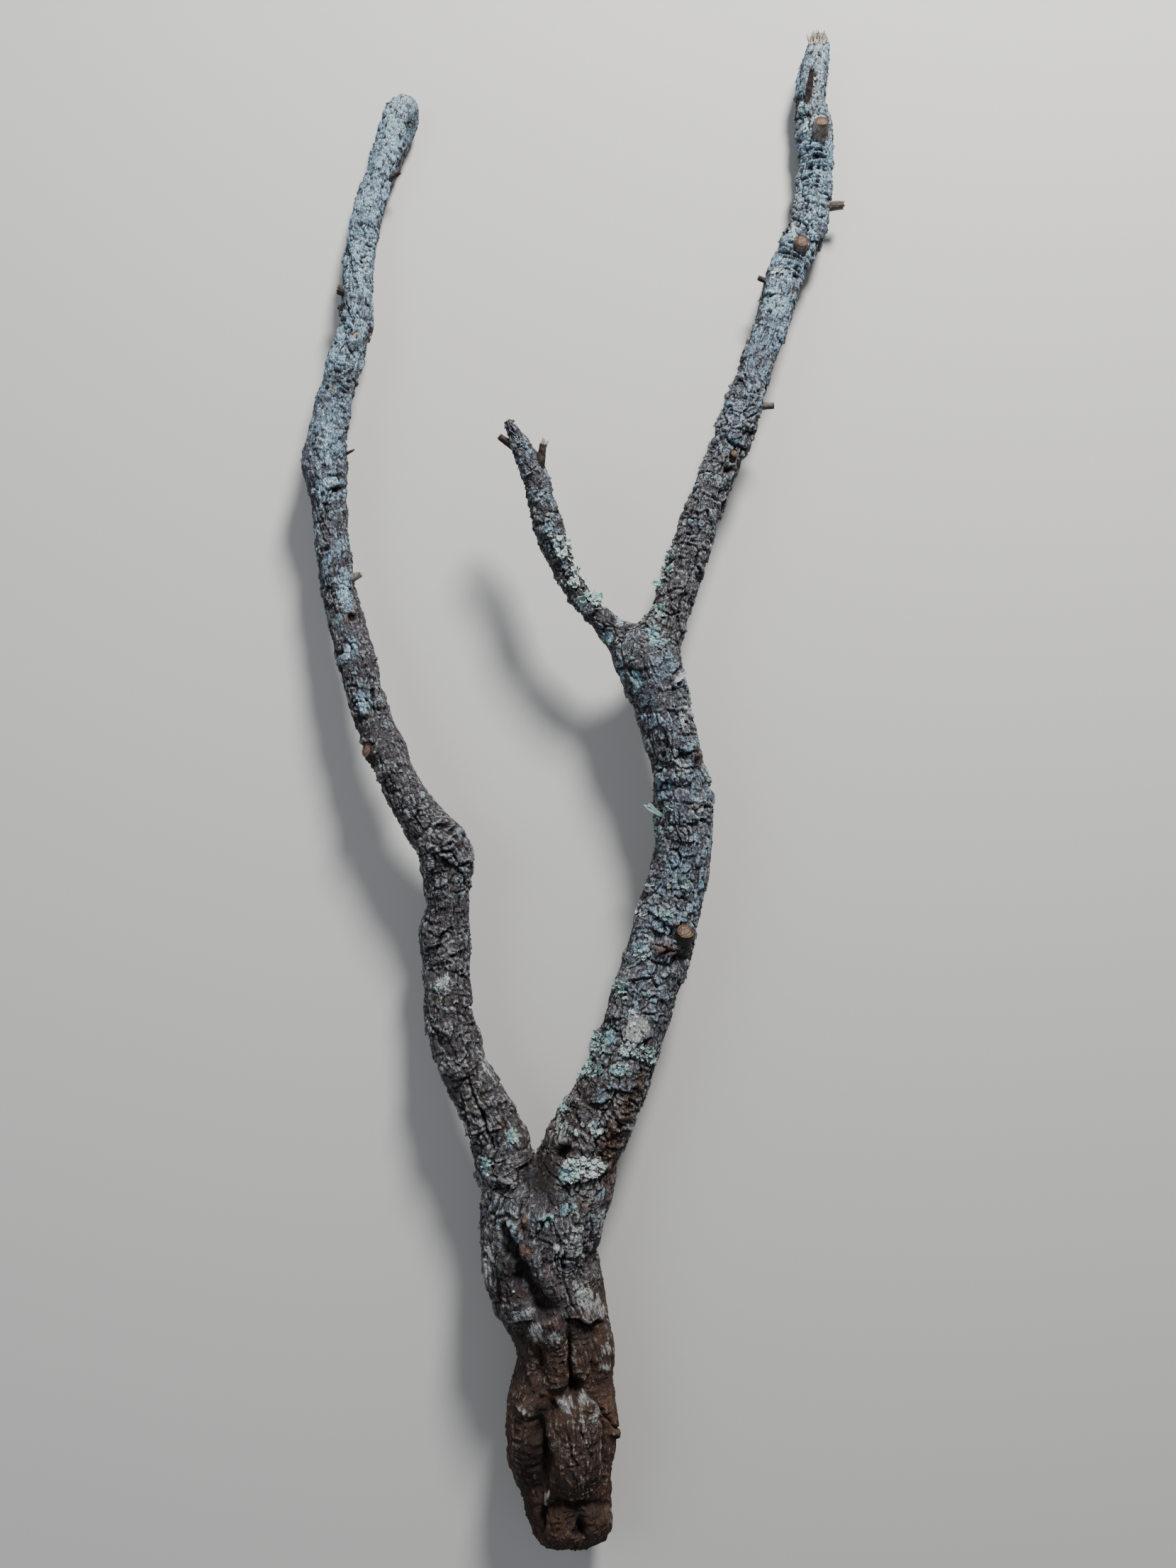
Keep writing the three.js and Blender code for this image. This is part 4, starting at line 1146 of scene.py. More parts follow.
class BarkFields:
    """The patterns on the bark that its colours and bumps share."""

    def __init__(self, n):
        self.grain = n.attribute("grain").outputs["Vector"]
        self.brown = n.value("brown")
        self.depth = n.value("depth")
        self.crust = n.value("crust")
        self.fine = n.noise(self.grain, *FINE)
        self.small = n.noise(self.grain, *SMALL)
        self.middle = n.noise(self.grain, *MIDDLE)
        self.broad = n.noise(self.grain, *BROAD)
        self.fibre = n.noise(n.stretch(self.grain, LONG_FIBRE), *FIBRE)
        bent = n.stretch(n.warped(self.grain, *FLAKE_WARP), LONG_FLAKE)
        flake = n.add("ShaderNodeTexVoronoi", Vector=bent, Scale=1.0 / FLAKE)
        self.flake_tone = n.tone_of(flake.outputs["Color"])
        self.flake_edge = n.edges(bent, FLAKE)
        # The level mixes how far the bark stands above its neighbours with random tones: where it is
        # low the colour gets painted shade
        self.level = n.total(
            (n.value("tip"), 0.9), (n.centred(self.flake_tone), 0.75),
            (n.centred(self.small), 1.1), (n.centred(self.fibre), 0.7),
            (n.centred(n.value("tone")), 1.1),
        )
        self.ragged = n.total(
            (n.centred(self.small), 0.9), (n.centred(self.fine), 0.6),
            (self.level, 0.2), (n.centred(self.fibre), 1.0),
        )


def bare_bark(n, fields, colours, weather):
    """Grey or brown bark, darker where it lies low between the plates as painted shade mixed with
    random tone, and pale on its tops, and the tops' own colour.
    """
    brownness = n.total(
        (n.centred(fields.middle), 0.8), (n.centred(fields.broad), 1.2), (fields.brown, 1.0),
    )
    brownness = n.threshold(brownness, 0.3, 0.7)
    colour = n.mix(brownness, colours.grey_bark, colours.brown_bark)
    # Dark bark where the level is low: painted shade in the low parts, mixed with random tone
    colour = n.mix(n.threshold(fields.level, -0.9, 0.0), colours.dark_bark, colour)
    dust = n.threshold(fields.crust, 0.22, 0.65)
    colour = n.laid_over(colour, colours.dusty_bark, dust, MOST["dust"])
    worn = n.total((fields.level, 1.0), (n.centred(fields.middle), 1.0))
    worn = n.threshold(worn, 0.65 - weather, 1.35 - weather)
    tops = n.mix(n.math("MULTIPLY", brownness, fields.brown), colours.weathered, colours.worn_cork)
    return n.laid_over(colour, tops, worn, MOST["worn"]), tops


def crusted_bark(n, fields, colours, bark):
    """The bark under its crust of pale lichen."""
    crusted = n.total(
        (fields.crust, 1.0), (n.centred(fields.broad), 0.9), (n.centred(fields.middle), 1.4),
        (n.centred(fields.small), 0.55), (fields.level, 0.15), (fields.depth, -0.9),
        (fields.brown, -0.25),
    )
    crust = n.mix(n.threshold(fields.broad, 0.35, 0.65), colours.crust, colours.blue_crust)
    thick = n.threshold(crusted, 0.7, 1.15)
    crust = n.laid_over(crust, colours.thick_crust, thick, MOST["thick"])
    # Grey bark shows through the crust where the level is low: partly gaps in the crust, partly painted
    # shade
    crust_gaps_and_shade = n.opposite(n.threshold(fields.level, -0.7, 0.3))
    crust = n.laid_over(crust, colours.grey_bark, crust_gaps_and_shade, MOST["crust_gaps_and_shade"])
    speckle = n.threshold(fields.fine, 0.53, 0.62)
    crust = n.laid_over(crust, colours.grey_bark, speckle, MOST["speckle"])
    return n.laid_over(bark, crust, n.threshold(crusted, 0.2, 0.84), MOST["crust"])


def stained_bark(n, fields, colours, bark, tops):
    """The bark under its stains and its turquoise spots."""
    bleached = n.mix(fields.brown, colours.pale, colours.weathered)
    whiter = n.total((fields.level, 1.0), (n.value("pale"), 0.55))
    stains = {
        "rust": n.mix(n.threshold(fields.level, -0.4, 0.5), colours.brown_bark, colours.rust),
        "pale": n.mix(n.threshold(whiter, 0.0, 0.7), tops, bleached),
        "mint": n.mix(n.threshold(fields.level, -0.3, 0.4), colours.blue_crust, colours.mint),
        "wood": n.mix(n.threshold(fields.fine, 0.35, 0.65), colours.bare_wood, colours.straw),
    }
    for kind, shade in stains.items():
        mask = n.threshold(n.total((n.value(kind), 1.0), (fields.ragged, 0.9)), 0.25, 0.8)
        bark = n.laid_over(bark, shade, mask, MOST[kind])
    spots = n.total((n.noise(fields.grain, *SPOTS), 1.0), (fields.crust, 0.12), (fields.brown, -0.2))
    spots = n.math("MULTIPLY", n.threshold(spots, 0.68, 0.76), n.threshold(fields.ragged, -0.1, 0.3))
    return n.laid_over(bark, colours.mint, spots, MOST["spots"])


def cracked_bark(n, fields, colours, bark):
    """The bark with painted shade in its cracks, hollows, pits and knot holes and under its ledges,
    some darker patches, and dark seams between the flakes.
    """
    shadows = {
        "dark": n.threshold(n.total((n.value("dark"), 1.0), (fields.ragged, 0.5)), 0.2, 0.9),
        "seams": n.opposite(n.threshold(fields.flake_edge, 0.0, 0.11)),
        "gaps": n.threshold(n.total((n.value("crack"), 1.0), (n.centred(fields.fine), 0.7)), 0.3, 0.85),
        "depth": n.threshold(fields.depth, 0.15, 0.9),
    }
    for kind, mask in shadows.items():
        bark = n.laid_over(bark, colours.crack, mask, MOST[kind])
    return bark


def bark_material(name, colours):
    """Cracked, flaking bark with worn tops, a crust of lichen and stains."""
    n = Nodes(name + "_bark")
    fields = BarkFields(n)
    colour, tops = bare_bark(n, fields, colours, FINISHES[name].weathered)
    colour = crusted_bark(n, fields, colours, colour)
    colour = stained_bark(n, fields, colours, colour, tops)
    colour = cracked_bark(n, fields, colours, colour)
    blocks = n.total((fields.flake_tone, 0.6), (n.threshold(fields.flake_edge, 0.0, 0.16), 0.6))
    blocks = n.math("MULTIPLY", blocks, n.math("SUBTRACT", 1.1, fields.brown, clamp=True))
    layers = n.noise(n.stretch(fields.grain, FLAT_LAYER), *LAYERS)
    bumps = (
        (fields.small, 0.0005), (blocks, 0.0009), (layers, 0.0002), (fields.fibre, 0.0009),
        (fields.fine, 0.0003),
    )
    return n.finish(colour, n.total((fields.fine, 0.15), (0.8, 1.0)), bumps)


def lichen_material(colours):
    """Leafy lichen: mint leaves with pale rims, whitish where it is old, dark below."""
    n = Nodes("leafy_lichen")
    place = n.place()
    fine = n.noise(place, *SPECKS)
    broad = n.noise(place, 0.006, 2.0, 0.5)
    tint = n.value("tint")
    colour = n.mix(n.threshold(n.total((broad, 1.0), (n.centred(tint), 0.5)), 0.35, 0.65),
                   colours.mint, colours.green_lichen)
    whiteness = n.total((n.value("white"), 1.0), (n.centred(tint), 0.3), (n.centred(fine), 0.5))
    colour = n.mix(n.threshold(whiteness, 0.15, 0.95), colour, colours.pale)
    inner = n.opposite(n.threshold(n.value("rim"), 0.0, 0.7))
    cleaner = n.opposite(n.math("MULTIPLY", n.value("white"), 0.5))
    colour = n.laid_over(colour, colours.grey_bark, inner, n.math("MULTIPLY", cleaner, 0.6))
    rim = n.threshold(n.total((n.value("rim"), 1.0), (n.centred(fine), 0.5)), 0.85, 1.05)
    colour = n.laid_over(colour, colours.pale, rim, 0.5)
    pits = n.opposite(n.threshold(fine, 0.3, 0.55))
    colour = n.laid_over(colour, colours.grey_bark, pits, n.math("MULTIPLY", cleaner, 0.55))
    colour = n.laid_over(colour, colours.dark_bark, n.value("under"), 0.8)
    return n.finish(colour, 0.88, [(fine, 0.0006)])


def flake_material(colours):
    """Chips of bark, each with its own shade, brown on the stem and grey on the limbs."""
    n = Nodes("bark_flakes")
    place = n.place()
    fine = n.noise(place, *SPECKS)
    shade = n.value("shade")
    base = n.mix(n.threshold(n.total((n.value("brown"), 1.0), (n.centred(shade), 0.5)), 0.3, 0.7),
                 colours.grey_bark, colours.brown_bark)
    dark = n.mix(n.threshold(shade, 0.0, 0.45), colours.dark_bark, base)
    worn = n.total((shade, 1.0), (n.centred(fine), 0.6), (n.value("brown"), -0.3))
    colour = n.laid_over(dark, colours.weathered, n.threshold(worn, 0.5, 0.9), 0.55)
    return n.finish(colour, 0.9, [(fine, 0.0004)])


# A sawn end's dark seam, as a part of its radius, how thin it is, and the checks' spacing in mm
SEAM_AT = 0.78
SEAM_THIN = 14.0
CHECK_MM = 4.2


def sawn_material(colours):
    """Sawn wood: rings round the pith, fine checks and a dark seam under the bark."""
    n = Nodes("sawn_wood")
    face = n.attribute("face").outputs["Vector"]
    wobble = n.noise(face, 2.5, 2.0, 0.5)
    grain = n.noise(face, 0.9, 3.0, 0.6)
    middle = n.add("ShaderNodeVectorMath", {"operation": "LENGTH"})
    n.feed(middle.inputs[0], face)
    ring = n.math("SINE", n.total((middle.outputs["Value"], 6.0), (wobble, 5.0)))
    colour = n.total((ring, 0.1), (grain, 0.5), (wobble, 0.4))
    colour = n.mix(colour, colours.bare_wood, colours.brown_bark)
    rim = n.threshold(n.total((n.value("rim"), 1.0), (n.centred(wobble), 0.3)), 0.6, 0.8)
    colour = n.laid_over(colour, colours.rust, rim, 0.7)
    off_seam = n.math("MULTIPLY", n.math("SUBTRACT", n.value("rim"), SEAM_AT), SEAM_THIN)
    seam = n.opposite(n.math("ABSOLUTE", off_seam), clamp=True)
    colour = n.laid_over(colour, colours.crack, seam, 0.7)
    split = n.total((n.edges(face, CHECK_MM), 1.0), (n.centred(grain), 0.1))
    split = n.opposite(n.threshold(split, 0.0, 0.09))
    colour = n.laid_over(colour, colours.crack, split, 0.75)
    return n.finish(colour, 0.85, [(wobble, 0.0004), (grain, 0.0003)])


def twig_material(colours):
    """Thin, dark bark of the twigs' stubs."""
    n = Nodes("twig_bark")
    place = n.place()
    fine = n.noise(place, *SPECKS)
    broad = n.noise(place, 0.005, 3.0, 0.6)
    worn = n.value("worn")
    lighter = n.total((worn, 0.6), (0.4, 1.0))
    colour = n.laid_over(colours.dark_bark, colours.brown_bark, n.threshold(broad, 0.3, 0.6), lighter)
    colour = n.laid_over(colour, colours.worn_cork, worn, 0.75)
    patch = n.threshold(n.total((broad, 1.0), (n.centred(fine), 0.7)), 0.42, 0.62)
    paler = n.total((worn, 0.62), (0.1, 1.0))
    colour = n.laid_over(colour, colours.weathered, patch, paler)
    return n.finish(colour, 0.85, [(broad, 0.001), (fine, 0.0004)])


def splinter_material(colours):
    """Frayed, sun-bleached wood fibre."""
    n = Nodes("splinters")
    place = n.place()
    fine = n.noise(place, 0.0008, 2.0, 0.6)
    broad = n.noise(place, 0.004, 2.0, 0.6)
    colour = n.mix(broad, colours.straw, colours.bare_wood)
    colour = n.mix(n.threshold(fine, 0.55, 0.75), colour, colours.weathered)
    return n.finish(colour, 0.8, [(fine, 0.0003)])


class Bark:
    """The built limbs' skins, for things that grow on them."""

    def __init__(self):
        self.points = []
        self.normals = []
        self.ends = []
        self.brown = []
        total = 0
        for name in LIMBS:
            piece = bpy.data.objects[name + "_bark"]
            count = len(piece.data.vertices)
            total += count
            self.ends.append((name, total))
            points = np.empty(count * 3, np.float32)
            normals = np.empty(count * 3, np.float32)
            piece.data.vertices.foreach_get("co", points)
            piece.data.vertex_normals.foreach_get("vector", normals)
            self.points.append(points.reshape(-1, 3))
            self.normals.append(normals.reshape(-1, 3))
            brown = np.empty(count, np.float32)
            piece.data.attributes["brown"].data.foreach_get("value", brown)
            self.brown.append(brown)
        self.points = np.vstack(self.points).astype(float) / MM - SHIFT
        self.normals = np.vstack(self.normals)
        self.brown = np.concatenate(self.brown)
        self.seen = in_photo(self.points)

    def owner(self, index):
        """The limb that a vertex is on."""
        for name, last in self.ends:
            if index < last:
                return name
        return self.ends[-1][0]


class Patch:
    """The bark round a pixel, and its top under any pixel in it."""

    def __init__(self, bark, x, y, reach):
        near = np.hypot(bark.seen[0] - x, bark.seen[1] - y) < reach
        near &= bark.normals[:, 2] > -0.1
        self.seen = (bark.seen[0][near], bark.seen[1][near])
        self.points = bark.points[near]
        self.normals = bark.normals[near]

    def under(self, x, y):
        away = np.hypot(self.seen[0] - x, self.seen[1] - y)
        near = away < max(2.6, away.min() + 1.5)
        top = self.points[near][:, 2].max()
        chosen = near & (self.points[:, 2] > top - 5.0)
        wider = away < max(9.0, away.min() + 4.0)
        normal = self.normals[wider].mean(axis=0) + (0.0, 0.0, 0.15)
        return self.points[chosen].mean(axis=0), unit(normal.astype(float))


class Heap:
    """Vertices, faces and values of many small shapes that become one piece."""

    def __init__(self, *names):
        self.points = []
        self.faces = []
        self.materials = []
        self.values = {name: [] for name in names}

    def add(self, points, faces, material=0, **values):
        first = len(self.points)
        self.points.extend(points)
        self.faces.extend([[first + i for i in face] for face in faces])
        self.materials.extend([material] * len(faces))
        for name, store in self.values.items():
            store.extend(values[name])

    def piece(self, name, materials, slot):
        made = new_piece(name, np.array(self.points), self.faces, materials)
        made.data.polygons.foreach_set("material_index", self.materials)
        for key, values in self.values.items():
            if np.ndim(values[0]):
                add_vectors(made.data, key, values)
            else:
                add_values(made.data, key, values)
        return made


def tangents(normal, turn):
    """Two directions across a normal and each other, turned round it by an angle."""
    side = np.cross(normal, (0.0, 1.0, 0.0))
    side = side / np.linalg.norm(side)
    other = np.cross(normal, side)
    turned = side * math.cos(turn) + other * math.sin(turn)
    return turned, other * math.cos(turn) - side * math.sin(turn)


# A leaf of lichen: its rows and columns of points, and its thickness in mm
FAN_ROWS = 6
FAN_COLUMNS = 7
FAN_THICK = 0.28
CRUMB_BROWN = 0.45  # bark browner than this carries no crumbs


def add_fan(heap, root, out, up, length, half, lift, white, random):
    """One leaf of lichen: it widens from its root, ruffles, and lifts towards its rim."""
    side = np.cross(up, out)
    phase = random.uniform(0, 2 * math.pi, 3)
    folds = random.uniform(1.2, 2.2)
    u, v = np.meshgrid(np.linspace(0, 1, FAN_ROWS), np.linspace(-1, 1, FAN_COLUMNS), indexing="ij")
    wide = half * (0.3 + 0.7 * u**0.6) * (1 + 0.12 * np.cos(9 * u + phase[0]))
    far = length * u * (1 - 0.3 * v * v) * (1 + 0.16 * np.cos(4.5 * v + phase[1]) * u)
    ruffle = 0.28 * half * u * u * np.sin(folds * math.pi * v + phase[2])
    rise = 0.25 + lift * u**1.8 + ruffle + 0.15 * lift * v * v * u
    top = root + far[..., None] * out + (wide * v)[..., None] * side + rise[..., None] * up
    top = top.reshape(-1, 3)
    count = len(top)
    rim = np.maximum(u, np.abs(v) * u**0.5).ravel().tolist()
    index = np.arange(count).reshape(FAN_ROWS, FAN_COLUMNS)
    quads = np.stack((index[:-1, :-1], index[1:, :-1], index[1:, 1:], index[:-1, 1:]), axis=-1)
    quads = quads.reshape(-1, 4)
    edge = np.concatenate((index[:, 0], index[-1, 1:], index[-2::-1, -1], index[0, -2:0:-1]))
    faces = quads[:, ::-1].tolist() + (quads + count).tolist()
    for a, b in zip(edge, np.roll(edge, -1)):
        faces.append((a, b, b + count, a + count))
    heap.add(
        np.vstack((top, top - up * FAN_THICK)).tolist(), [list(map(int, face)) for face in faces],
        rim=rim + rim, under=[0.0] * count + [1.0] * count,
        white=[white] * (2 * count), tint=[random.uniform(0, 1)] * (2 * count),
    )


def grow_lichen(heap, patch, mark, size, random):
    """A rosette of overlapping leaves that face away from its middle."""
    turn = math.radians(mark.turn)
    leaves = int(2 + mark.dense * mark.across * mark.along / (size * size) * 2.4)
    for _ in range(leaves):
        spin = random.uniform(0, 2 * math.pi)
        far = math.sqrt(random.uniform(0, 1))
        u = mark.across * far * math.cos(spin)
        v = mark.along * far * math.sin(spin)
        dx = u * math.cos(turn) - v * math.sin(turn)
        dy = u * math.sin(turn) + v * math.cos(turn)
        root, up = patch.under(mark.x + dx / PIXEL_MM, mark.y - dy / PIXEL_MM)
        wild = random.normal(0, 0.5 + 1.2 * (1 - far), 2)
        out = np.array((dx + wild[0] * size, dy + wild[1] * size, 0.0))
        out = unit(out - up * np.dot(out, up))
        length = size * random.uniform(0.7, 1.35)
        lift = length * (1 - mark.flat) * random.uniform(0.15, 0.75)
        up = unit(up + random.normal(0, 0.22 * (1.1 - mark.flat), 3))
        out = unit(out - up * np.dot(out, up))
        white = float(np.clip(mark.white + random.uniform(-0.2, 0.2), 0, 1))
        start = root - out * length * 0.5
        add_fan(heap, start, out, up, length, length * random.uniform(0.5, 0.75), lift, white, random)


def add_leaf(heap, bark, leaf, random):
    """A single leaf that lies between two pixels."""
    x0, y0, x1, y1, half, white = leaf
    root, _ = Patch(bark, x0, y0, 20.0).under(x0, y0)
    away = np.array((x1 - x0, y0 - y1, 0.0)) * PIXEL_MM
    length = np.linalg.norm(away)
    up = np.array((0.0, 0.0, 1.0))
    add_fan(heap, root, away / length, up, length, half, 1.5, white, random)


def add_crumb(heap, bark, random):
    """A small leaf anywhere on the bark, but neither below it nor on brown cork."""
    index = int(random.integers(len(bark.points)))
    up = bark.normals[index].astype(float)
    if up[2] < -0.2 or bark.brown[index] > CRUMB_BROWN:
        return
    out, _ = tangents(up, random.uniform(0, 2 * math.pi))
    length = random.uniform(0.9, 1.9)
    lift = length * random.uniform(0.1, 0.5)
    white = random.uniform(0.0, 0.8)
    add_fan(heap, bark.points[index], out, up, length, length * 0.6, lift, white, random)


def build_lichens(context):
    """Every leafy lichen as one piece: rosettes, single leaves and crumbs."""
    random = np.random.default_rng(SEED)
    bark = Bark()
    heap = Heap("rim", "under", "white", "tint")
    size = context.scene.branch_shape.lobe_radius / MM
    for mark in LICHENS:
        reach = max(mark.across, mark.along) / PIXEL_MM + 14.0
        grow_lichen(heap, Patch(bark, mark.x, mark.y, reach), mark, size * mark.lobe, random)
    for leaf in LEAVES:
        add_leaf(heap, bark, leaf, random)
    for _ in range(context.scene.branch_shape.crumbs):
        add_crumb(heap, bark, random)
    material = lichen_material(context.scene.branch_colours)
    return heap.piece("leafy_lichen", [material], "lichen")


# A chip of bark: its corners, its thickness and how deep its fixed edge is in the bark, in mm
FLAKE_CORNERS = 6
FLAKE_THICK = 0.42
FLAKE_ROOT = 0.25


def chip_faces(flipped):
    """A chip's two sides and its rim, which turn with the side that faces out."""
    corners = range(FLAKE_CORNERS)
    faces = [tuple(corners), tuple(range(2 * FLAKE_CORNERS - 1, FLAKE_CORNERS - 1, -1))]
    if flipped:
        faces = [face[::-1] for face in faces]
    for k in corners:
        following = (k + 1) % FLAKE_CORNERS
        quad = (k, FLAKE_CORNERS + k, FLAKE_CORNERS + following, following)
        faces.append((k,) + quad[:0:-1] if flipped else quad)
    return faces


def add_chip(heap, root, normal, brown, random):
    """One loose chip of bark, whose lower edge has lifted."""
    side, down = tangents(normal, random.normal(0, 0.55))
    half = random.uniform(0.6, 1.3)
    length = half * random.uniform(1.0, 2.2)
    lift = random.uniform(0.25, 0.9)
    angles = np.arange(FLAKE_CORNERS) + random.uniform(-0.3, 0.3, FLAKE_CORNERS)
    angles = angles * 2 * math.pi / FLAKE_CORNERS
    reach = random.uniform(0.75, 1.1, FLAKE_CORNERS)
    x = half * reach * np.cos(angles)
    y = length * reach * np.sin(angles)
    rise = -FLAKE_ROOT + (lift + FLAKE_ROOT) * (y / length + 1.0) / 2.0
    rise = rise + random.uniform(-0.1, 0.1, FLAKE_CORNERS)
    top = root + side * x[:, None] + down * y[:, None] + normal * rise[:, None]
    points = np.vstack((top, top - normal * FLAKE_THICK - down * 0.15))
    flipped = np.dot(np.cross(top[1] - top[0], top[2] - top[1]), normal) < 0
    shade = random.uniform(0, 1)
    count = len(points)
    heap.add(points.tolist(), chip_faces(flipped), shade=[shade] * count, brown=[brown] * count)


def build_flakes(context):
    """Loose chips of bark as one piece, fewer on the stem."""
    random = np.random.default_rng(SEED + 3)
    bark = Bark()
    heap = Heap("shade", "brown")
    for _ in range(context.scene.branch_shape.flakes):
        index = int(random.integers(len(bark.points)))
        if bark.owner(index) == "stem" and random.uniform(0, 1) > 0.3:
            continue
        normal = unit(bark.normals[index].astype(float) + (0.0, 0.001, 0.0))
        add_chip(heap, bark.points[index], normal, bark.brown[index], random)
    material = flake_material(context.scene.branch_colours)
    piece = heap.piece("bark_flakes", [material], "crusted_bark")
    piece.data.polygons.foreach_set("use_smooth", [False] * len(piece.data.polygons))
    return piece


STUB_SIDES = 28
STUB_ROW = 0.7  # mm between the rows of a twig's side
CAP_RINGS = (1.0, 0.84, 0.78, 0.72, 0.5, 0.2)  # rings of a twig's end, as parts of its radius
SEAM_RINGS = (0.7, 0.85)  # the rings between these are sunk into the dark seam
OFF_FACE = (9.0, 9.0, 0.0)  # what the side gives as its place on the sawn face
# A twig's frame: its root, direction, length, a round of directions out, and how torn it is
Twig = namedtuple("Twig", "root along length spin ring ragged")


def twig_frame(stub, random):
    """The frame that a twig's side and end share."""
    root = np.array(stub.root, float)
    reach = np.array(stub.end, float) - root
    length = np.linalg.norm(reach)
    along = reach / length
    side, other = tangents(along, 0.0)
    spin = np.arange(STUB_SIDES) * 2 * math.pi / STUB_SIDES
    ring = side[None] * np.cos(spin)[:, None] + other[None] * np.sin(spin)[:, None]
    ragged = np.zeros(STUB_SIDES) if stub.sawn else random.uniform(-1.6, 0.6, STUB_SIDES)
    return Twig(root, along, length, spin, ring, ragged)


def add_twig_side(heap, stub, twig):
    """The bark round a twig; it returns how uneven the last row is."""
    rows = int(twig.length / STUB_ROW)
    points = []
    for row in range(rows + 1):
        part = row / rows
        radius = stub.root_radius + (stub.end_radius - stub.root_radius) * part**0.7
        uneven = noise(twig.ring * radius + twig.along * part * twig.length, 2.6, SEED + 5)
        lump = uneven * 0.1 * radius
        reach_out = (radius + lump)[:, None] * twig.ring
        tail = (twig.ragged * part**8)[:, None] * twig.along
        points.extend((twig.root + twig.along * twig.length * part + reach_out + tail).tolist())
    faces = [face[::-1] for face in grid_faces(rows + 1, STUB_SIDES)]
    count = len(points)
    heap.add(points, faces, 0, face=[OFF_FACE] * count, rim=[0.0] * count, worn=[stub.worn] * count)
    return lump


def add_twig_end(heap, stub, twig, lump, random):
    """The sawn or snapped face of a twig, sunk a little under its bark."""
    radius = stub.end_radius
    points = []
    places = []
    for inward in CAP_RINGS:
        sunk = 0.7 if SEAM_RINGS[0] < inward < SEAM_RINGS[1] else 0.1
        depth = 0.0 if inward > 0.95 else (sunk if stub.sawn else random.uniform(0.2, 1.4))
        flat = twig.ring * (radius + lump)[:, None] * inward
        grain = noise(flat * 3.0, 1.5, SEED + 8) * (0.1 if stub.sawn else 0.5)
        tail = (twig.ragged * inward**3)[:, None] * twig.along
        middle = twig.root + twig.along * (twig.length - depth)
        points.extend((middle + flat + twig.along * grain[:, None] + tail).tolist())
        places.extend(
            (math.cos(a) * radius * inward, math.sin(a) * radius * inward, 0.0) for a in twig.spin
        )
    points.append((twig.root + twig.along * (twig.length - 0.3)).tolist())
    places.append((0.0, 0.0, 0.0))
    rims = [inward for inward in CAP_RINGS for _ in range(STUB_SIDES)] + [0.0]
    faces = grid_faces(len(CAP_RINGS), STUB_SIDES)
    count = len(CAP_RINGS) * STUB_SIDES
    last = count - STUB_SIDES
    faces += [(count, last + (k + 1) % STUB_SIDES, last + k) for k in range(STUB_SIDES)]
    faces = [face[::-1] for face in faces]
    heap.add(points, faces, 1, face=places, rim=rims, worn=[0.0] * len(points))


def build_stubs(context):
    """Sawn and snapped twigs as one piece, thin bark on the side and wood on the end."""
    random = np.random.default_rng(SEED + 1)
    heap = Heap("face", "rim", "worn")
    for stub in STUBS:
        twig = twig_frame(stub, random)
        lump = add_twig_side(heap, stub, twig)
        add_twig_end(heap, stub, twig, lump, random)
    colours = context.scene.branch_colours
    return heap.piece("twig_stubs", [twig_material(colours), sawn_material(colours)], "bare_wood")


SPLINTER_SIDES = 5
SPLINTER_ROOT = 3.0  # mm of a splinter inside the limb
SPLINTER_ROWS = ((0.0, 1.0), (0.4, 0.85), (0.75, 0.5), (1.0, 0.12))  # part of its length, width


def add_splinter(heap, fray, toward, random):
    """One thin, bent and pointed splinter."""
    side, other = tangents(toward, 0.0)
    spin = random.uniform(0, 2 * math.pi)
    far = fray.spread * math.sqrt(random.uniform(0, 1))
    base = np.array(fray.place) + far * (side * math.cos(spin) + other * math.sin(spin))
    base = base - toward * SPLINTER_ROOT
    lean = unit(toward + random.normal(0, 0.25, 3))
    length = fray.length * random.uniform(0.5, 1.1)
    wide = random.uniform(0.35, 0.8)
    bend = random.normal(0, 0.7, 3)
    points = []
    for part, thin in SPLINTER_ROWS:
        middle = base + lean * (length + SPLINTER_ROOT) * part + bend * part**2
        for k in range(SPLINTER_SIDES):
            angle = 2 * math.pi * k / SPLINTER_SIDES
            offset = side * math.cos(angle) + other * math.sin(angle) * 0.5
            points.append((middle + offset * wide * thin).tolist())
    rows = len(SPLINTER_ROWS)
    faces = [face[::-1] for face in grid_faces(rows, SPLINTER_SIDES)]
    faces.append(tuple(range(SPLINTER_SIDES)))
    faces.append(tuple(range(rows * SPLINTER_SIDES - 1, (rows - 1) * SPLINTER_SIDES - 1, -1)))
    heap.add(points, faces)


def build_frays(context):
    """Splinters of bleached wood at the torn ends, as one piece."""
    random = np.random.default_rng(SEED + 2)
    heap = Heap()
    for fray in FRAYS:
        toward = unit(np.array(fray.toward, float))
        for _ in range(fray.count):
            add_splinter(heap, fray, toward, random)
    return heap.piece("splinters", [splinter_material(context.scene.branch_colours)], "bare_wood")


def colour(name, description, value):
    return bpy.props.FloatVectorProperty(
        name=name, description=description, default=(*value, 1.0), size=4,
        subtype="COLOR", min=0.0, max=1.0,
    )


class BranchShape(bpy.types.PropertyGroup):
    relief: bpy.props.FloatProperty(
        name="Bark relief", description="How deep the bark's plates and furrows are",
        default=1.0, min=0.0, max=2.0, subtype="FACTOR",
    )
    lobe_radius: bpy.props.FloatProperty(
        name="Lichen lobe", description="Radius of one lobe of the leafy lichens",
        default=0.0026, min=0.001, max=0.01, unit="LENGTH",
    )
    crumbs: bpy.props.IntProperty(
        name="Lichen crumbs", description="Small single lobes strewn over the bark",
        default=260, min=0, max=1000,
    )
    flakes: bpy.props.IntProperty(
        name="Bark flakes", description="Loose chips of bark strewn over the limbs",
        default=4200, min=0, max=8000,
    )


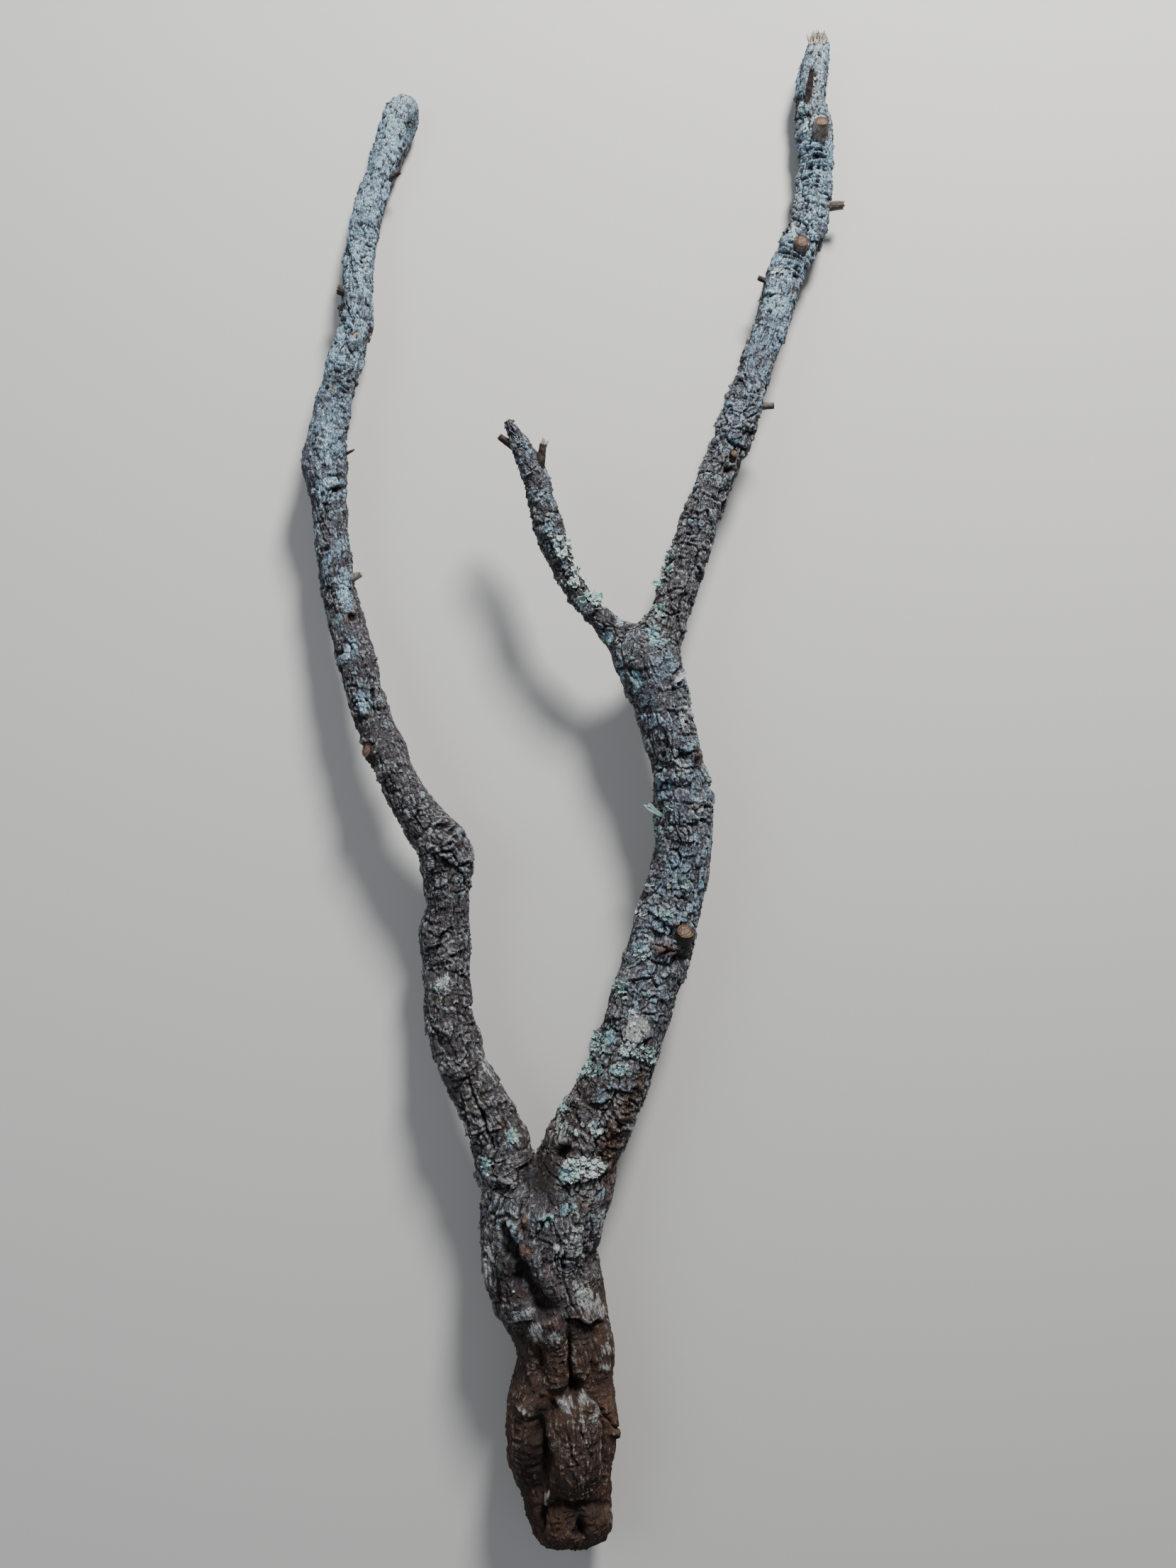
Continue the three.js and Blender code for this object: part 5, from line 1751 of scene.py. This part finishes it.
class BranchColours(bpy.types.PropertyGroup):
    # Crack is the painted shade in the open cracks, hollows, pits and knot holes and under the ledges;
    # it also colours the dark seam and checks of the sawn faces
    crack: colour("Crack", "Deep cracks and hollows", (0.016, 0.012, 0.011))
    # Dark bark is partly the painted shade where the bark lies low between the plates, mixed with
    # random tone; it also darkens flakes, twigs and the lichen's undersides
    dark_bark: colour("Dark bark", "Sheltered bark between the plates", (0.03, 0.025, 0.024))
    # Brown bark: the stem's cork, a little darker than its own colour as painted shade for the dimmer
    # light low on the branch
    brown_bark: colour("Brown bark", "Cork of the stem", (0.074, 0.041, 0.028))
    grey_bark: colour("Grey bark", "Bark of the limbs", (0.098, 0.091, 0.1))
    dusty_bark: colour("Dusty bark", "Bark under a thin crust", (0.155, 0.168, 0.21))
    weathered: colour("Weathered bark", "Worn tops of the plates", (0.34, 0.345, 0.35))
    worn_cork: colour("Worn cork", "Worn tops on the brown stem", (0.19, 0.147, 0.118))
    crust: colour("Crust", "Pale crust of lichen", (0.5, 0.77, 0.95))
    blue_crust: colour("Blue crust", "Bluish crust of lichen", (0.29, 0.48, 0.64))
    thick_crust: colour("Thick crust", "Crust where it is thickest", (0.7, 0.89, 0.98))
    mint: colour("Mint lichen", "Leafy lichen and turquoise spots", (0.34, 0.59, 0.56))
    green_lichen: colour("Green lichen", "Duller leaves of lichen", (0.3, 0.45, 0.41))
    pale: colour("Pale lichen", "Whitish lichen and bleached ridges", (0.7, 0.74, 0.72))
    rust: colour("Rust", "Crumbling orange-brown cork", (0.14, 0.073, 0.045))
    bare_wood: colour("Bare wood", "Sawn and torn wood", (0.3, 0.215, 0.16))
    straw: colour("Straw", "Frayed, bleached fibre", (0.76, 0.7, 0.57))
    floor: colour("Floor", "Floor of the studio", (0.72, 0.71, 0.69))


class LimbBuilder:
    """What the five limb operators share."""

    bl_options = {"REGISTER", "UNDO"}
    limb = ""

    def execute(self, context):
        build_limb(self.limb, context)
        return {"FINISHED"}


class BRANCH_OT_stem(LimbBuilder, bpy.types.Operator):
    """Build the stem's corky skin, from the broken butt to the first fork"""

    bl_idname = "branch.stem"
    bl_label = "Stem"
    limb = "stem"


class BRANCH_OT_left_limb(LimbBuilder, bpy.types.Operator):
    """Build the bark of the long bowed limb on the left"""

    bl_idname = "branch.left_limb"
    bl_label = "Left Limb"
    limb = "left_limb"


class BRANCH_OT_right_limb(LimbBuilder, bpy.types.Operator):
    """Build the bark of the thick limb on the right"""

    bl_idname = "branch.right_limb"
    bl_label = "Right Limb"
    limb = "right_limb"


class BRANCH_OT_upper_limb(LimbBuilder, bpy.types.Operator):
    """Build the bark of the limb above the second fork"""

    bl_idname = "branch.upper_limb"
    bl_label = "Upper Limb"
    limb = "upper_limb"


class BRANCH_OT_side_branch(LimbBuilder, bpy.types.Operator):
    """Build the bark of the thin side branch"""

    bl_idname = "branch.side_branch"
    bl_label = "Side Branch"
    limb = "side_branch"


class BRANCH_OT_twig_stubs(bpy.types.Operator):
    """Build the sawn and snapped twigs"""

    bl_idname = "branch.twig_stubs"
    bl_label = "Twig Stubs"
    bl_options = {"REGISTER", "UNDO"}

    def execute(self, context):
        build_stubs(context)
        return {"FINISHED"}


class BRANCH_OT_splinters(bpy.types.Operator):
    """Build the frayed wood at the torn ends"""

    bl_idname = "branch.splinters"
    bl_label = "Splinters"
    bl_options = {"REGISTER", "UNDO"}

    def execute(self, context):
        build_frays(context)
        return {"FINISHED"}


class BRANCH_OT_flakes(bpy.types.Operator):
    """Strew loose chips of bark over the limbs that are already built"""

    bl_idname = "branch.flakes"
    bl_label = "Bark Flakes"
    bl_options = {"REGISTER", "UNDO"}

    def execute(self, context):
        build_flakes(context)
        return {"FINISHED"}


class BRANCH_OT_lichens(bpy.types.Operator):
    """Grow the leafy lichens on the limbs that are already built"""

    bl_idname = "branch.lichens"
    bl_label = "Leafy Lichens"
    bl_options = {"REGISTER", "UNDO"}

    def execute(self, context):
        build_lichens(context)
        return {"FINISHED"}


def floor_material(colours):
    n = Nodes("studio_floor")
    place = n.place()
    cloud = n.noise(place, 0.6, 2.0, 0.5)
    tint = n.mix(n.math("MULTIPLY", cloud, 0.06), colours.floor, (0.6, 0.6, 0.6, 1.0))
    return n.finish(tint, 0.9, [])


FLOOR_HALF = 5.0
SKY = (0.8, 0.85, 0.92, 1.0)
SKY_STRENGTH = 0.2
NEAREST = 0.02  # m from the camera at which it starts to see
# Round soft lights: place, target and size in m, power in W and colour
Light = namedtuple("Light", "name place target size power shade")
LIGHTS = (
    Light("key_light", (0.5, 1.6, 1.13), (0, 0.1, 0), 0.45, 60.0, (1.0, 0.99, 0.97)),
    Light("fill_light", (-1.3, 0.3, 1.6), (0, 0, 0), 1.2, 7.0, (0.9, 0.95, 1.0)),
)


def add_floor(scene):
    mesh = bpy.data.meshes.new("floor")
    signs = ((-1, -1), (1, -1), (1, 1), (-1, 1))
    mesh.from_pydata([(x * FLOOR_HALF, y * FLOOR_HALF, 0) for x, y in signs], [], [(0, 1, 2, 3)])
    mesh.materials.append(floor_material(scene.branch_colours))
    floor = bpy.data.objects.new("floor", mesh)
    scene.collection.objects.link(floor)


def add_sky(scene):
    world = bpy.data.worlds.new("studio")
    world.use_nodes = True
    background = world.node_tree.nodes["Background"]
    background.inputs["Color"].default_value = SKY
    background.inputs["Strength"].default_value = SKY_STRENGTH
    scene.world = world


def add_light(scene, light):
    data = bpy.data.lights.new(light.name, "AREA")
    data.shape = "DISK"
    data.size = light.size
    data.energy = light.power
    data.color = light.shade
    lamp = bpy.data.objects.new(light.name, data)
    lamp.location = light.place
    toward = Vector(light.target) - Vector(light.place)
    lamp.rotation_euler = toward.to_track_quat("-Z", "Y").to_euler()
    scene.collection.objects.link(lamp)


def add_camera(scene):
    data = bpy.data.cameras.new("photo_camera")
    data.sensor_width = SENSOR_MM
    data.lens = FOCAL_PIXELS * SENSOR_MM / FRAME_HEIGHT
    data.clip_start = NEAREST
    camera = bpy.data.objects.new("photo_camera", data)
    camera.location = ((CAMERA_AT + SHIFT) * MM).tolist()
    camera.rotation_euler = (math.radians(CAMERA_TILT), 0.0, 0.0)
    scene.collection.objects.link(camera)
    scene.camera = camera


class BRANCH_OT_stage(bpy.types.Operator):
    """Add the pale floor, the soft studio lights and the camera that looks down"""

    bl_idname = "branch.stage"
    bl_label = "Stage"
    bl_options = {"REGISTER", "UNDO"}

    def execute(self, context):
        scene = context.scene
        add_floor(scene)
        add_sky(scene)
        for light in LIGHTS:
            add_light(scene, light)
        add_camera(scene)
        return {"FINISHED"}


BUILDERS = (
    BRANCH_OT_stem,
    BRANCH_OT_left_limb,
    BRANCH_OT_right_limb,
    BRANCH_OT_upper_limb,
    BRANCH_OT_side_branch,
    BRANCH_OT_twig_stubs,
    BRANCH_OT_splinters,
    BRANCH_OT_flakes,
    BRANCH_OT_lichens,
    BRANCH_OT_stage,
)


class BRANCH_PT_panel(bpy.types.Panel):
    """The branch's sizes, colours and builders"""

    bl_idname = "BRANCH_PT_panel"
    bl_label = "Fallen Branch"
    bl_space_type = "VIEW_3D"
    bl_region_type = "UI"
    bl_category = "Branch"

    def draw(self, context):
        for group in (context.scene.branch_shape, context.scene.branch_colours):
            for name in group.__annotations__:
                self.layout.prop(group, name)
        for builder in BUILDERS:
            self.layout.operator(builder.bl_idname)


CLASSES = (BranchShape, BranchColours, *BUILDERS, BRANCH_PT_panel)


def register():
    for cls in CLASSES:
        bpy.utils.register_class(cls)
    bpy.types.Scene.branch_shape = bpy.props.PointerProperty(type=BranchShape)
    bpy.types.Scene.branch_colours = bpy.props.PointerProperty(type=BranchColours)


def unregister():
    del bpy.types.Scene.branch_colours
    del bpy.types.Scene.branch_shape
    for cls in reversed(CLASSES):
        bpy.utils.unregister_class(cls)


def main():
    register()
    bpy.ops.branch.stem()
    bpy.ops.branch.left_limb()
    bpy.ops.branch.right_limb()
    bpy.ops.branch.upper_limb()
    bpy.ops.branch.side_branch()
    bpy.ops.branch.twig_stubs()
    bpy.ops.branch.splinters()
    bpy.ops.branch.flakes()
    bpy.ops.branch.lichens()
    bpy.ops.branch.stage()


if __name__ == "__main__":
    main()
